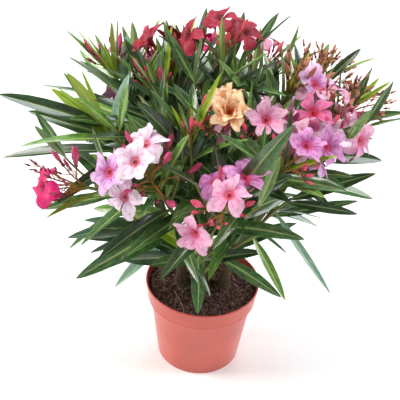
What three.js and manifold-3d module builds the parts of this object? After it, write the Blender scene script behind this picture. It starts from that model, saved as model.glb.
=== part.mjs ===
// Potted oleander: a bushy flowering shrub, about half a metre high and wide, in a round plastic
// nursery pot. Five woody stems stand in the potting soil. They fork into tapering boughs, and each
// bough ends in a leafy shoot: whorls of three lance-shaped leaves, and on most a cluster of
// funnel-shaped flowers and pointed buds. Leaves, flowers and buds are fused to their shoot.
//
// Units are millimetres and +Z is up. The origin is the middle of the pot's flat underside, and the
// shrub's front faces -Y. Bearings are degrees seen from above: 0 is the front, 90 the right-hand
// side (+X), 180 the back. The shrub's own group stands on the soil, so its heights start there.
import * as THREE from "three";
import { mergeVertices } from "three/addons/utils/BufferGeometryUtils.js";
import Module from "manifold-3d";

const wasm = await Module();
wasm.setup();

// ---- Driving dimensions -------------------------------------------------------------------------

const GAP = 0.3; // clearance between two pieces that touch in the real plant
const SNAP = 1e-3; // grid that finished corners are snapped to

const POT = {
  height: 112,
  rimRadius: 70,
  collarHeight: 24,
  collarFootRadius: 66.5,
  shoulderRadius: 63,
  footRadius: 50.5,
  footChamfer: 1.5,
  wall: 2,
  floor: 2.5,
  soilBelowRim: 7,
  sides: 32,
};

// Limbs are round, with radii at foot and tip. A stem also flares at its root.
const STEM = { foot: 6.2, tip: 4.6, bend: 0.6, flare: 3.4, flareShare: 0.22, sides: 7, steps: 6 };
const BOUGH = { foot: 3.8, tip: 2.7, share: 0.44, offset: 3, sides: 5, steps: 2 };
const SHOOT = { foot: 3.4, tip: 2.6, sides: 3, steps: 2 };

// Width, up to `mostWidth`, thickness and length are shares of a leaf's length, `widest` and
// `fullLengthAge` shares of the way along the leaf and down the shoot. Spread, the angle to the shoot,
// is in degrees, like the turns.
const LEAF = {
  perWhorl: 3,
  whorlSpacing: 18,
  whorlTurn: 60,
  widthShare: 0.168,
  mostWidth: 20,
  thickShare: 0.0105,
  widest: 0.42,
  stalkWidth: 2.6,
  stalkThick: 1.3,
  rootOffset: 1.2,
  youngSpread: 30,
  oldSpread: 78,
  spreadPower: 0.8,
  youngLength: 0.74,
  fullLengthAge: 0.55,
  youngDroop: 0.02,
  oldDroop: 0.14,
  skyward: 0.6,
  jitter: { turn: 22, spread: 16, length: 0.2, droop: 0.08, twist: 40 },
  turnsTried: [0, 10, -10, 20, -20],
  lengthsTried: [1, 0.8],
};

// The leafy length of a shoot: from above its bough, or its stem, to below its flowers.
const LEAFY = { afterBough: 0.05, afterStem: 0.3, bareUnderFlowers: 0.2, bareTip: 0.05 };

const FLOWER = { radius: 23.5, waist: 0.52, tube: 17, dish: 4.5, petals: 5, skyward: 0.15 };
const BUD = { radius: 3.2, length: 25, belly: 0.55, skyward: 0.3 };
const RAY = {
  radius: 1.2,
  sides: 3,
  offset: 1.3,
  below: 1.3,
  spacing: 2.2,
  flowerLength: 25,
  budLength: 28,
  middleSpread: 12,
  flowerSpread: 52,
  budSpreads: [22, 34, 46],
  jitter: { spread: 12, turn: 20, length: 0.4 },
};

// Where each stem stands on the soil, how far out its fork is, and how high.
const STEMS = {
  left: { bearing: -88, foot: 26, fork: 40, height: 74 },
  front: { bearing: -8, foot: 24, fork: 37, height: 66 },
  right: { bearing: 84, foot: 27, fork: 42, height: 78 },
  back: { bearing: 176, foot: 27, fork: 40, height: 76 },
  centre: { bearing: 20, foot: 1, fork: 3, height: 96 },
};

// The leafy shoots. `from` is where on its stem a shoot starts, from 0 at the soil to 1 at the fork.
// `bearing`, `out` and `up` place its tip: out from the pot's axis and up from the soil. `arch` bends
// it outwards, `leaf` is the length of its oldest leaves and `turn` the bearing of the first leaf
// round the shoot. `spread` replaces LEAF.oldSpread, and `bare` the bare share under the flowers. A
// `whole` shoot grows straight from its stem, without a bough.
const SHOOTS = {
  left_flowers: {
    stem: "left", from: 0.82, bearing: -70, out: 158, up: 175, arch: 0.2,
    leaf: 104, turn: 30, bare: 0.34, flowers: 2, buds: 4,
  },
  left_leaves: {
    stem: "left", from: 1, bearing: -97, out: 126, up: 214, arch: 0.1,
    leaf: 152, turn: 8, spread: 72,
  },
  left_upper: {
    stem: "left", from: 0.66, bearing: -122, out: 140, up: 246, arch: 0.02,
    leaf: 120, turn: 50, buds: 2,
  },
  left_low: {
    stem: "left", from: 0.5, bearing: -82, out: 82, up: 114, arch: 0.1,
    leaf: 98, turn: 0, spread: 66, whole: true,
  },
  left_front_low: {
    stem: "left", from: 0.72, bearing: -40, out: 88, up: 132, arch: 0.08,
    leaf: 104, turn: 22, spread: 66, whole: true,
  },
  left_front: {
    stem: "front", from: 0.86, bearing: -42, out: 104, up: 214, arch: 0.06,
    leaf: 108, turn: 60, flowers: 4, buds: 2,
  },
  front_flowers: {
    stem: "front", from: 1, bearing: 9, out: 118, up: 206, arch: 0.06,
    leaf: 104, turn: 10, flowers: 3, buds: 4,
  },
  front_low: {
    stem: "front", from: 0.42, bearing: -6, out: 74, up: 104, arch: 0.12,
    leaf: 92, turn: 0, spread: 62, whole: true,
  },
  front_upper: {
    stem: "front", from: 0.7, bearing: -26, out: 56, up: 240,
    leaf: 118, turn: 35, buds: 2,
  },
  right_front_low: {
    stem: "front", from: 0.56, bearing: 46, out: 86, up: 130, arch: 0.08,
    leaf: 100, turn: 40, spread: 64, whole: true,
  },
  right_front: {
    stem: "right", from: 1, bearing: 52, out: 104, up: 232, arch: 0.04,
    leaf: 106, turn: 25, flowers: 4, buds: 2,
  },
  right_flowers: {
    stem: "right", from: 0.84, bearing: 88, out: 122, up: 238, arch: 0.02,
    leaf: 104, turn: 70, flowers: 4, buds: 2,
  },
  right_low: {
    stem: "right", from: 0.5, bearing: 80, out: 96, up: 150, arch: 0.1,
    leaf: 108, turn: 15, spread: 64, whole: true,
  },
  right_buds: {
    stem: "right", from: 0.7, bearing: 112, out: 166, up: 226, arch: 0.02,
    leaf: 108, turn: 45, bare: 0.2, spread: 68, buds: 5,
  },
  middle_right: {
    stem: "right", from: 0.6, bearing: 46, out: 64, up: 244, arch: -0.04,
    leaf: 110, turn: 80, flowers: 3, buds: 2,
  },
  middle: {
    stem: "centre", from: 1, bearing: 16, out: 32, up: 246,
    leaf: 108, turn: 20, flowers: 2, buds: 2,
  },
  middle_left: {
    stem: "centre", from: 0.88, bearing: -108, out: 64, up: 252,
    leaf: 122, turn: 5, buds: 2,
  },
  top: {
    stem: "centre", from: 0.94, bearing: 176, out: 50, up: 298,
    leaf: 110, turn: 48, flowers: 4, buds: 2,
  },
  top_left: {
    stem: "centre", from: 0.8, bearing: -138, out: 88, up: 262,
    leaf: 114, turn: 30, flowers: 3, buds: 3,
  },
  top_right: {
    stem: "centre", from: 0.72, bearing: 118, out: 96, up: 260,
    leaf: 110, turn: 66, flowers: 2, buds: 4,
  },
  back_right_buds: {
    stem: "back", from: 0.84, bearing: 132, out: 166, up: 236, arch: 0.02,
    leaf: 108, turn: 10, buds: 5,
  },
  back_right: {
    stem: "back", from: 1, bearing: 160, out: 138, up: 234, arch: 0.05,
    leaf: 112, turn: 55, flowers: 3, buds: 3,
  },
  back: {
    stem: "back", from: 0.92, bearing: -172, out: 146, up: 216, arch: 0.08,
    leaf: 114, turn: 20, flowers: 3, buds: 3,
  },
  back_left: {
    stem: "back", from: 0.74, bearing: -142, out: 152, up: 220, arch: 0.06,
    leaf: 114, turn: 42, flowers: 3, buds: 2,
  },
  back_left_low: {
    stem: "back", from: 0.5, bearing: -146, out: 90, up: 130, arch: 0.12,
    leaf: 104, turn: 12, spread: 68, whole: true,
  },
  back_right_low: {
    stem: "back", from: 0.56, bearing: 136, out: 98, up: 132, arch: 0.12,
    leaf: 104, turn: 33, spread: 68, whole: true,
  },
};

// ---- Materials ----------------------------------------------------------------------------------

const finish = (color, roughness) => new THREE.MeshStandardMaterial({ color, roughness, metalness: 0 });
const TERRACOTTA = finish(0xd9695a, 0.45);
const PEAT = finish(0x2e1d17, 0.95);
const BARK = finish(0x7b6a52, 0.85);
const GREEN_BARK = finish(0x6f7d3c, 0.7);
const LEAVES = finish(0x2f5a24, 0.4);

// ---- Helpers ------------------------------------------------------------------------------------

const UP = new THREE.Vector3(0, 0, 1);
const DOWN = new THREE.Vector3(0, 0, -1);
const GOLDEN_ANGLE = 137.508;
const { degToRad, lerp } = THREE.MathUtils;

const unit = (v) => v.clone().normalize();
const moved = (from, direction, distance) => from.clone().addScaledVector(direction, distance);
const even = (radius, sides) => Array.from({ length: sides }, () => radius);

// The part of v that is square to the unit vector axis, made a unit vector.
const squareTo = (v, axis) => moved(v, axis, -v.dot(axis)).normalize();

// A direction at an angle from one unit vector towards another that is square to it.
function turnedFrom(first, second, degrees) {
  const angle = degToRad(degrees);
  return first.clone().multiplyScalar(Math.cos(angle)).addScaledVector(second, Math.sin(angle));
}

// A point `out` from the pot's axis at a bearing, `up` from the soil.
function polar(bearing, out, up) {
  return new THREE.Vector3(out * Math.sin(degToRad(bearing)), -out * Math.cos(degToRad(bearing)), up);
}

// A seeded generator (mulberry32): the same numbers on every run, each from 0 up to 1.
function seeded(seed) {
  let state = seed | 0;
  return () => {
    state = (state + 0x6d2b79f5) | 0;
    let t = Math.imul(state ^ (state >>> 15), 1 | state);
    t = (t + Math.imul(t ^ (t >>> 7), 61 | t)) ^ t;
    return ((t ^ (t >>> 14)) >>> 0) / 4294967296;
  };
}

// A ring of points at distances from a centre, in the plane of two unit vectors, turning from the
// first to the second.
function ring(centre, first, second, radii) {
  return radii.map((radius, k) => moved(centre, turnedFrom(first, second, (360 * k) / radii.length), radius));
}

// The manifold-3d solid of a closed geometry with shared corners.
function solidOf(geometry) {
  const vertProperties = geometry.attributes.position.array;
  const triVerts = new Uint32Array(geometry.index.array);
  return new wasm.Manifold(new wasm.Mesh({ numProp: 3, vertProperties, triVerts }));
}

// A solid skinned over a row of rings of points. Every ring turns the same way, anticlockwise as seen
// from the far end, and may have its own number of corners. A ring of one point closes an end, and a
// larger first or last ring is closed flat.
function skinned(rings) {
  const triangles = [];
  let start = 0;
  for (let i = 1; i < rings.length; i++) {
    const [a, b] = [rings[i - 1].length, rings[i].length];
    const next = start + a;
    let [j, k] = [0, 0];
    while (j < a || k < b) {
      const here = [start + (j % a), next + (k % b)];
      const alongFirst = k === b || (j < a && (j + 1) / a <= (k + 1) / b);
      if (alongFirst) j++;
      else k++;
      const ahead = alongFirst ? start + (j % a) : next + (k % b);
      if (!here.includes(ahead)) triangles.push([here[0], ahead, here[1]]);
    }
    start = next;
  }
  for (let k = 1; k < rings[0].length - 1; k++) triangles.push([0, k + 1, k]);
  for (let k = 1; k < rings.at(-1).length - 1; k++) triangles.push([start, start + k, start + k + 1]);
  const positions = new Float32Array(rings.flat().flatMap((c) => [c.x, c.y, c.z]));
  return solidOf(
    new THREE.BufferGeometry()
      .setAttribute("position", new THREE.BufferAttribute(positions, 3))
      .setIndex(triangles.flat()),
  );
}

// A solid of revolution about +Z, `shift` lower than its profile of [radius, height] pairs. The
// profile starts and ends on the axis, with the material on its left.
function turned(profile, shift = 0) {
  const points = profile.map(([radius, height]) => new THREE.Vector2(radius, height - shift));
  const lathe = new THREE.LatheGeometry(points, POT.sides);
  lathe.rotateX(Math.PI / 2);
  lathe.deleteAttribute("normal");
  lathe.deleteAttribute("uv");
  return solidOf(mergeVertices(lathe, 1e-4));
}

// The geometry of a solid, its corners snapped to a fine grid, which closes up crumbs too small for
// 32-bit numbers.
function geometryOf(solid) {
  const { vertProperties, triVerts } = solid.getMesh();
  const positions = Float32Array.from(vertProperties, (v) => Math.round(v / SNAP) * SNAP);
  const geometry = new THREE.BufferGeometry()
    .setAttribute("position", new THREE.BufferAttribute(positions, 3))
    .setIndex(new THREE.BufferAttribute(new Uint32Array(triVerts), 1));
  return mergeVertices(geometry, SNAP);
}

// The named mesh of a solid. Scraps that a cut has left loose are dropped.
function meshOf(name, solid, material) {
  const bodies = solidOf(geometryOf(solid)).decompose();
  bodies.sort((a, b) => b.volume() - a.volume());
  const geometry = geometryOf(bodies[0]);
  geometry.computeVertexNormals();
  const mesh = new THREE.Mesh(geometry, material);
  mesh.name = name;
  return mesh;
}

// ---- Pot and soil -------------------------------------------------------------------------------

const collarFoot = POT.height - POT.collarHeight;
const soilTop = POT.height - POT.soilBelowRim;

// The pot's outer radius at a height: a slightly flaring body, then the wider collar.
function potRadius(z) {
  return z < collarFoot
    ? lerp(POT.footRadius, POT.shoulderRadius, z / collarFoot)
    : lerp(POT.collarFootRadius, POT.rimRadius, (z - collarFoot) / POT.collarHeight);
}

// The bore follows the outside, and steps out inside the collar.
const insideRadius = (z) => potRadius(z) - POT.wall;
const ledge = collarFoot + POT.wall;
const underLedge = insideRadius(collarFoot - GAP);

const potProfile = [
  [0, 0],
  [POT.footRadius - POT.footChamfer, 0],
  [potRadius(POT.footChamfer), POT.footChamfer],
  [POT.shoulderRadius, collarFoot],
  [POT.collarFootRadius, collarFoot],
  [POT.rimRadius, POT.height],
  [insideRadius(POT.height), POT.height],
  [insideRadius(ledge), ledge],
  [underLedge, ledge],
  [insideRadius(POT.floor), POT.floor],
  [0, POT.floor],
];

// The potting soil fills the pot to just under its rim.
const soilProfile = [
  [0, POT.floor + GAP],
  [insideRadius(POT.floor + GAP) - GAP, POT.floor + GAP],
  [underLedge - GAP, ledge + GAP],
  [insideRadius(ledge + GAP) - GAP, ledge + GAP],
  [insideRadius(soilTop) - GAP, soilTop],
  [0, soilTop],
];

// ---- Stems, boughs and shoots -------------------------------------------------------------------

// A round limb along a quadratic curve from parameter t0 to t1, with flat ends square to it. Such a
// curve lies in one plane, so that plane's normal and the curve's own carry every ring of corners.
function limb(curve, t0, t1, radiusAt, { sides, steps }) {
  const plane = curve.v1.clone().sub(curve.v0).cross(curve.v2.clone().sub(curve.v0));
  if (plane.lengthSq() < 1e-6) plane.set(0, 1, 0).cross(curve.getTangent(0));
  plane.normalize();
  const rings = Array.from({ length: steps + 1 }, (_, i) => {
    const t = lerp(t0, t1, i / steps);
    const inPlane = curve.getTangent(Math.min(t, 1)).cross(plane).normalize();
    return ring(curve.getPoint(t), plane, inPlane, even(radiusAt(t), sides));
  });
  return skinned(rings);
}

// A stem stands upright on the soil and leans out to its fork.
function stemCurve({ bearing, foot, fork, height }) {
  return new THREE.QuadraticBezierCurve3(
    polar(bearing, foot, GAP),
    polar(bearing, foot, height * STEM.bend),
    polar(bearing, fork, height),
  );
}

function stemRadius(t) {
  const flared = Math.max(0, 1 - t / STEM.flareShare) ** 2;
  return lerp(STEM.foot, STEM.tip, t) + STEM.flare * flared;
}

const stemCurves = Object.fromEntries(Object.entries(STEMS).map(([name, stem]) => [name, stemCurve(stem)]));

// A shoot's whole line, from its stem to its tip. With no arch it is straight.
function shootCurve({ stem, from, bearing, out, up, arch = 0 }) {
  const tip = polar(bearing, out, up);
  const heart = stemCurves[stem].getPoint(from);
  const start = moved(heart, unit(tip.clone().sub(heart).setZ(0)), BOUGH.offset);
  const bend = start.clone().lerp(tip, 0.5 - arch);
  bend.z = lerp(start.z, tip.z, 0.5 + arch);
  return new THREE.QuadraticBezierCurve3(start, bend, tip);
}

const boughRadius = (t) => lerp(BOUGH.foot, BOUGH.tip, t / BOUGH.share);

// A shoot tapers from its foot, at its bough's tip or its stem, to its own tip.
function shootRadius({ whole }, t) {
  const foot = whole ? 0 : BOUGH.share;
  return lerp(SHOOT.foot, SHOOT.tip, (t - foot) / (1 - foot));
}

// Two unit vectors square to a shoot's axis; the first is its outer, lower side.
function aroundShoot(axis, bearing) {
  const first = squareTo(polar(bearing, 1, -1), axis);
  return [first, axis.clone().cross(first)];
}

// ---- Leaves -------------------------------------------------------------------------------------

// The leaves of a shoot: whorls of three from its tip down, each turned half a step from the last.
// Older leaves stand out more, are longer and hang more.
function leavesOf(shoot) {
  const { curve, random } = shoot;
  const foot = shoot.whole ? LEAFY.afterStem : BOUGH.share + LEAFY.afterBough;
  const bare = shoot.bare ?? (shoot.flowers ? LEAFY.bareUnderFlowers : LEAFY.bareTip);
  const top = 1 - bare * (1 - foot);
  const whorls = Math.round(((top - foot) * curve.getLength()) / LEAF.whorlSpacing) + 1;
  const vary = (amount) => (random() - 0.5) * amount;
  const leaves = [];
  for (let whorl = 0; whorl < whorls; whorl++) {
    const age = whorl / (whorls - 1);
    const t = lerp(top, foot, age);
    const axis = curve.getTangent(t);
    const around = aroundShoot(axis, shoot.bearing);
    for (let k = 0; k < LEAF.perWhorl; k++) {
      const turn = shoot.turn + whorl * LEAF.whorlTurn + (k * 360) / LEAF.perWhorl;
      const spread = lerp(LEAF.youngSpread, shoot.spread ?? LEAF.oldSpread, age ** LEAF.spreadPower);
      const length = shoot.leaf * lerp(LEAF.youngLength, 1, Math.min(1, age / LEAF.fullLengthAge));
      leaves.push({
        root: curve.getPoint(t),
        axis,
        around,
        turn: turn + vary(LEAF.jitter.turn),
        spread: spread + vary(LEAF.jitter.spread),
        length: length * (1 + vary(LEAF.jitter.length)),
        droop: lerp(LEAF.youngDroop, LEAF.oldDroop, age) + LEAF.jitter.droop * random(),
        twist: vary(LEAF.jitter.twist),
      });
    }
  }
  return leaves;
}

// A leaf at each turn and length that is tried for it, in order.
function retries(leaf) {
  return LEAF.lengthsTried.flatMap((share) =>
    LEAF.turnsTried.map((change) => ({ ...leaf, turn: leaf.turn + change, length: leaf.length * share })),
  );
}

// A leaf's own directions: out from the shoot, along the leaf, out of its upper face and across it.
// The upper face looks to the shoot's tip and, partly, to the sky.
function leafDirections({ axis, around, turn, spread, twist }) {
  const radial = turnedFrom(...around, turn);
  const along = turnedFrom(axis, radial, spread);
  const inner = turnedFrom(radial.clone().negate(), axis, spread);
  const face = squareTo(moved(inner, UP, LEAF.skyward), along).applyAxisAngle(along, degToRad(twist));
  return { radial, along, face, across: along.clone().cross(face) };
}

// A leaf blade of twelve faces: a three-cornered stalk, four corners where it is widest, and a tip.
// Its line is foot + along * length * s, less droop * length * s squared, for s from 0 to 1.
// `spare` grows it on every side.
function blade(leaf, spare = 0) {
  const { radial, along, face, across } = leafDirections(leaf);
  const { length, droop } = leaf;
  const foot = moved(leaf.root, radial, LEAF.rootOffset);
  const at = (s) => moved(moved(foot, along, length * s), DOWN, droop * length * s * s);
  const wide = Math.min(length * LEAF.widthShare, LEAF.mostWidth) / 2 + spare;
  const thick = (length * LEAF.thickShare) / 2 + spare;
  const middle = at(LEAF.widest);
  const stalk = [
    moved(foot, face, LEAF.stalkThick + spare),
    moved(foot, across, LEAF.stalkWidth / 2 + spare),
    moved(foot, across, -LEAF.stalkWidth / 2 - spare),
  ];
  const widest = [
    moved(middle, face, thick),
    moved(middle, across, wide),
    moved(middle, face, -thick),
    moved(middle, across, -wide),
  ];
  return skinned([stalk, widest, [moved(at(1), along, spare)]]);
}

// ---- Flowers and buds ---------------------------------------------------------------------------

// The flower cluster at a shoot's tip: rays set round it by the golden angle, each a little further
// down the shoot. The first rays end in open flowers, one in the middle and the others round it, and
// the rest in buds.
function raysOf({ curve, random, bearing, turn: start, flowers = 0, buds = 0 }) {
  const vary = (amount) => (random() - 0.5) * amount;
  return Array.from({ length: flowers + buds }, (_, i) => {
    const open = i < flowers;
    const t = 1 - (RAY.below + RAY.spacing * i) / curve.getLength();
    const axis = curve.getTangent(t);
    const flowerSpread = i === 0 ? RAY.middleSpread : RAY.flowerSpread;
    const spread = (open ? flowerSpread : RAY.budSpreads[i % 3]) + vary(RAY.jitter.spread);
    const turn = start + i * GOLDEN_ANGLE + vary(RAY.jitter.turn);
    const radial = turnedFrom(...aroundShoot(axis, bearing), turn);
    const direction = turnedFrom(axis, radial, spread);
    const stalk = (open ? RAY.flowerLength : RAY.budLength) * (1 + vary(RAY.jitter.length));
    return {
      open,
      foot: moved(curve.getPoint(t), radial, RAY.offset),
      direction,
      length: stalk + RAY.spacing * i,
      facing: unit(moved(direction, UP, open ? FLOWER.skyward : BUD.skyward)),
    };
  });
}

// Two unit vectors that a ring square to an axis is laid out on.
function squareRing(axis) {
  const first = squareTo(Math.abs(axis.z) < 0.9 ? UP : new THREE.Vector3(1, 0, 0), axis);
  return [first, axis.clone().cross(first)];
}

// A ray of the cluster: a thin stalk from the shoot, and at its end an open flower, a funnel that
// widens into five petals, or a pointed bud. `spare` grows it on every side.
function rayBody({ open, foot, direction, length, facing }, spare = 0) {
  const end = moved(foot, direction, length);
  const around = squareRing(facing);
  const at = (distance, radii) => ring(moved(end, facing, distance), ...around, radii);
  const thin = even(RAY.radius + spare, RAY.sides);
  const petalTip = (k) => FLOWER.radius * (k % 2 ? FLOWER.waist : 1) + spare;
  const head = open
    ? [
        at(FLOWER.tube + FLOWER.dish, Array.from({ length: 2 * FLOWER.petals }, (_, k) => petalTip(k))),
        at(FLOWER.tube + spare, [0]),
      ]
    : [at(BUD.length * BUD.belly, even(BUD.radius + spare, RAY.sides)), at(BUD.length + spare, [0])];
  return skinned([ring(foot, ...squareRing(direction), thin), at(0, thin), ...head]);
}

// ---- Growing the shrub --------------------------------------------------------------------------

const placed = []; // { owner, box, solid } of everything grown so far
const grownLimbs = []; // each limb again, larger by the gap, to cut its neighbours clear of it

function place(owner, solid) {
  placed.push({ owner, box: solid.boundingBox(), solid });
  return solid;
}

// Whether a grown solid stays clear of everything that belongs to another node.
function isClear(owner, grown) {
  const box = grown.boundingBox();
  const near = placed.filter(
    (other) =>
      other.owner !== owner &&
      [0, 1, 2].every((i) => box.min[i] <= other.box.max[i] && box.max[i] >= other.box.min[i]),
  );
  return near.every((other) => grown.intersect(other.solid).isEmpty());
}

// A limb's solid less every grown limb before it. Of a limb cut in two, the part at its tip stays.
function cutClear(solid, tip) {
  const distance = ({ min, max }) =>
    new THREE.Box3(new THREE.Vector3(...min), new THREE.Vector3(...max)).distanceToPoint(tip);
  const pieces = grownLimbs.reduce((rest, grown) => rest.subtract(grown), solid).decompose();
  return pieces.sort((a, b) => distance(a.boundingBox()) - distance(b.boundingBox()))[0];
}

const plant = new THREE.Group();
const shrub = new THREE.Group();
shrub.position.z = soilTop;
plant.add(meshOf("pot", turned(potProfile), TERRACOTTA), meshOf("soil", turned(soilProfile), PEAT), shrub);
place("pot", turned(potProfile, soilTop));
place("soil", turned(soilProfile, soilTop));

for (const [name, curve] of Object.entries(stemCurves)) {
  const pastTip = 1 + GAP / curve.getLength();
  const stem = place(`stem_${name}`, limb(curve, 0, 1, stemRadius, STEM));
  grownLimbs.push(limb(curve, 0, pastTip, (t) => stemRadius(t) + GAP, STEM));
  shrub.add(meshOf(`stem_${name}`, stem, BARK));
}

const shoots = Object.entries(SHOOTS).map(([name, shoot], index) => ({
  ...shoot,
  name,
  curve: shootCurve(shoot),
  random: seeded(index + 1),
}));

for (const { name, curve } of shoots.filter((shoot) => !shoot.whole)) {
  const uncut = limb(curve, 0, BOUGH.share, boughRadius, BOUGH);
  const bough = place(`bough_${name}`, cutClear(uncut, curve.getPoint(BOUGH.share)));
  grownLimbs.push(limb(curve, 0, BOUGH.share, (t) => boughRadius(t) + GAP, BOUGH));
  shrub.add(meshOf(`bough_${name}`, bough, GREEN_BARK));
}

// Shoots and their flowers come before leaves, so that every leaf can keep clear of them.
for (const shoot of shoots) {
  const { curve, name } = shoot;
  const foot = shoot.whole ? 0 : BOUGH.share + GAP / curve.getLength();
  const axis = (spare) => limb(curve, foot, 1, (t) => shootRadius(shoot, t) + spare, SHOOT);
  shoot.pieces = [place(name, cutClear(axis(0), curve.getPoint(1)))];
  grownLimbs.push(axis(2 * GAP));
}
for (const shoot of shoots) {
  const rays = raysOf(shoot).filter((ray) => isClear(shoot.name, rayBody(ray, GAP)));
  shoot.pieces.push(...rays.map((ray) => place(shoot.name, rayBody(ray))));
}

// Leaves go on a whorl of every shoot at a time, so that each shoot keeps a fair share of the space.
// A leaf that would touch another node is turned a little, then made shorter, or left out.
for (const shoot of shoots) shoot.leaves = leavesOf(shoot);
const mostLeaves = Math.max(...shoots.map((shoot) => shoot.leaves.length));
for (let first = 0; first < mostLeaves; first += LEAF.perWhorl) {
  for (const shoot of shoots) {
    for (const leaf of shoot.leaves.slice(first, first + LEAF.perWhorl)) {
      const free = retries(leaf).find((tried) => isClear(shoot.name, blade(tried, GAP)));
      if (free) shoot.pieces.push(place(shoot.name, blade(free)));
    }
  }
}

for (const { name, pieces } of shoots) {
  shrub.add(meshOf(`foliage_${name}`, wasm.Manifold.union(pieces), LEAVES));
}

export default plant;
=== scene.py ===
"""A potted oleander in flower: a plastic pot of peat, five woody stems, leafy shoots and their blooms.

Sizes are millimetres, but metres in the finishes and the studio, and angles are degrees. Bearings are seen
from above: 0 is the front (-Y), 90 the right-hand side (+X) and 180 the back. The plant's own heights
start from the top of the soil.
"""

import bpy
import numpy as np
from mathutils import Matrix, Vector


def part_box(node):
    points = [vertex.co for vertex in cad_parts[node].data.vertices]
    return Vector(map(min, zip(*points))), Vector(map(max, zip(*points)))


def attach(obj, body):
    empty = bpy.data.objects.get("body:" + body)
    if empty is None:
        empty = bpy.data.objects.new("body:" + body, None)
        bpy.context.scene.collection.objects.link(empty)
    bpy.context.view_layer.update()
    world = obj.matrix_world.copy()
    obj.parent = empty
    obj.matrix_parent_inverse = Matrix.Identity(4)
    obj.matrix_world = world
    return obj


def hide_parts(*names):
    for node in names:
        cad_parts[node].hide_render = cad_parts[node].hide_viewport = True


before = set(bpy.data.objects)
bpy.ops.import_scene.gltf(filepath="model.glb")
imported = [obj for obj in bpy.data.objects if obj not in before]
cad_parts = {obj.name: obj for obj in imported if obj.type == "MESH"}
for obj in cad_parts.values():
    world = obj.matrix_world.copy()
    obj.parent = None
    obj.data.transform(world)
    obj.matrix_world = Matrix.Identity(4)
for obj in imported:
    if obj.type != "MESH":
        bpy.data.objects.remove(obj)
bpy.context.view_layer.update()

# ---- Pot ----------------------------------------------------------------------------------------
# A round nursery pot, injection moulded in terracotta-coloured plastic: a slightly flaring body, a
# wider collar with a fine bead at its foot, and a rolled lip. Its underside is dished a little.

MM = 0.001
POT = {
    "collar_height": 24.0,
    "collar_flare": 3.5,
    "collar_lean": 0.13,
    "shoulder": 3.5,
    "foot_radius": 50.5,
    "foot_width": 5.0,
    "foot_slope": 1.0,
    "dish": 1.0,
    "wall": 2.0,
    "floor": 2.5,
    "bead": 0.5,
    "bead_height": 2.2,
    "lip": 0.45,
    "lip_height": 2.8,
    "bevel": 0.8,
    "rounding": 0.9,
    "sides": 144,
}
pot_low, pot_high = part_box("pot")
pot_height = pot_high.z / MM
rim_radius = (pot_high.x - pot_low.x) / 2 / MM


def unit(v):
    """v divided by its own length."""
    return v / np.linalg.norm(v, axis=-1, keepdims=True)


def rounded(profile, radius, steps=4):
    """Each inner corner c of a profile becomes the quadratic (1-t)^2 a + 2t(1-t) c + t^2 b, where a and b
    lie on its two sides, `radius` from c or nearly half a side away."""
    before, corner, after = profile[:-2], profile[1:-1], profile[2:]

    def beside(other):
        """The point of the side towards `other` where the quadratic starts or ends."""
        side = other - corner
        length = np.linalg.norm(side, axis=1, keepdims=True)
        return corner + side * np.minimum(radius / length, 0.45)

    t = np.linspace(0, 1, steps)[None, :, None]
    a, b = beside(before)[:, None], beside(after)[:, None]
    arcs = (1 - t) ** 2 * a + 2 * t * (1 - t) * corner[:, None] + t**2 * b
    return np.concatenate([profile[:1], arcs.reshape(-1, 2), profile[-1:]])


def skin(rings, foot=None, tip=None, columns=None, rows=None):
    """Closed skins over rings of points, an array (count, rows, around, 3): a four-sided face between each
    two neighbours on two rings, and at each end a fan of triangles to one point. Rings turn
    anticlockwise as seen from the tip. `columns` gives the pattern's u at both sides of each
    column of faces, and `rows` its v at the foot, at each ring and at the tip."""
    count, height, around = rings.shape[:3]
    foot = rings[:, 0].mean(1) if foot is None else foot
    tip = rings[:, -1].mean(1) if tip is None else tip
    verts = np.concatenate([rings.reshape(count, -1, 3), foot[:, None], tip[:, None]], 1)
    k = np.arange(around)
    ahead = (k + 1) % around
    i = np.arange(height - 1)[:, None] * around
    quads = np.stack([i + k, i + ahead, i + around + ahead, i + around + k], -1).reshape(-1, 4)
    last = (height - 1) * around
    pole = np.full(around, height * around)
    fans = [np.stack([ahead, k, pole], -1), np.stack([last + k, last + ahead, pole + 1], -1)]
    fans = np.concatenate(fans)
    template = np.concatenate([quads.ravel(), fans.ravel()])
    sizes = np.concatenate([np.full(len(quads), 4), np.full(len(fans), 3)])
    corners = template[None] + np.arange(count)[:, None] * verts.shape[1]
    made = {"verts": verts.reshape(-1, 3), "corners": corners.ravel(), "sizes": np.tile(sizes, count)}
    if columns is not None:
        u0, u1 = columns[:, 0], columns[:, 1]
        v0, v1 = np.repeat(rows[1:-2], around), np.repeat(rows[2:-1], around)
        a, b = np.tile(u0, height - 1), np.tile(u1, height - 1)
        middle, flat = (u0 + u1) / 2, np.ones(around)
        quad_uv = np.stack([a, v0, b, v0, b, v1, a, v1], -1)
        foot_uv = np.stack([u1, flat * rows[1], u0, flat * rows[1], middle, flat * rows[0]], -1)
        tip_uv = np.stack([u0, flat * rows[-2], u1, flat * rows[-2], middle, flat * rows[-1]], -1)
        uv = np.concatenate([part.reshape(-1, 2) for part in (quad_uv, foot_uv, tip_uv)])
        made["uv"] = np.tile(uv, (count, 1))
    return made


def revolved(profile, sides):
    """A profile of (radius, height) pairs that starts and ends on the axis, carried round it:
    (r sin a, -r cos a, z) for the bearing a."""
    a = np.linspace(0, 2 * np.pi, sides, endpoint=False)
    r, z = profile[1:-1, :1], profile[1:-1, 1:]
    rings = np.stack([r * np.sin(a), -r * np.cos(a), z + 0 * a], -1)[None]
    ends = [np.array([[0.0, 0.0, profile[i, 1]]]) for i in (0, -1)]
    return skin(rings, *ends)


def placed(name, data):
    """An object of the given data, linked to the scene."""
    made = bpy.data.objects.new(name, data)
    bpy.context.scene.collection.objects.link(made)
    return made


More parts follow.
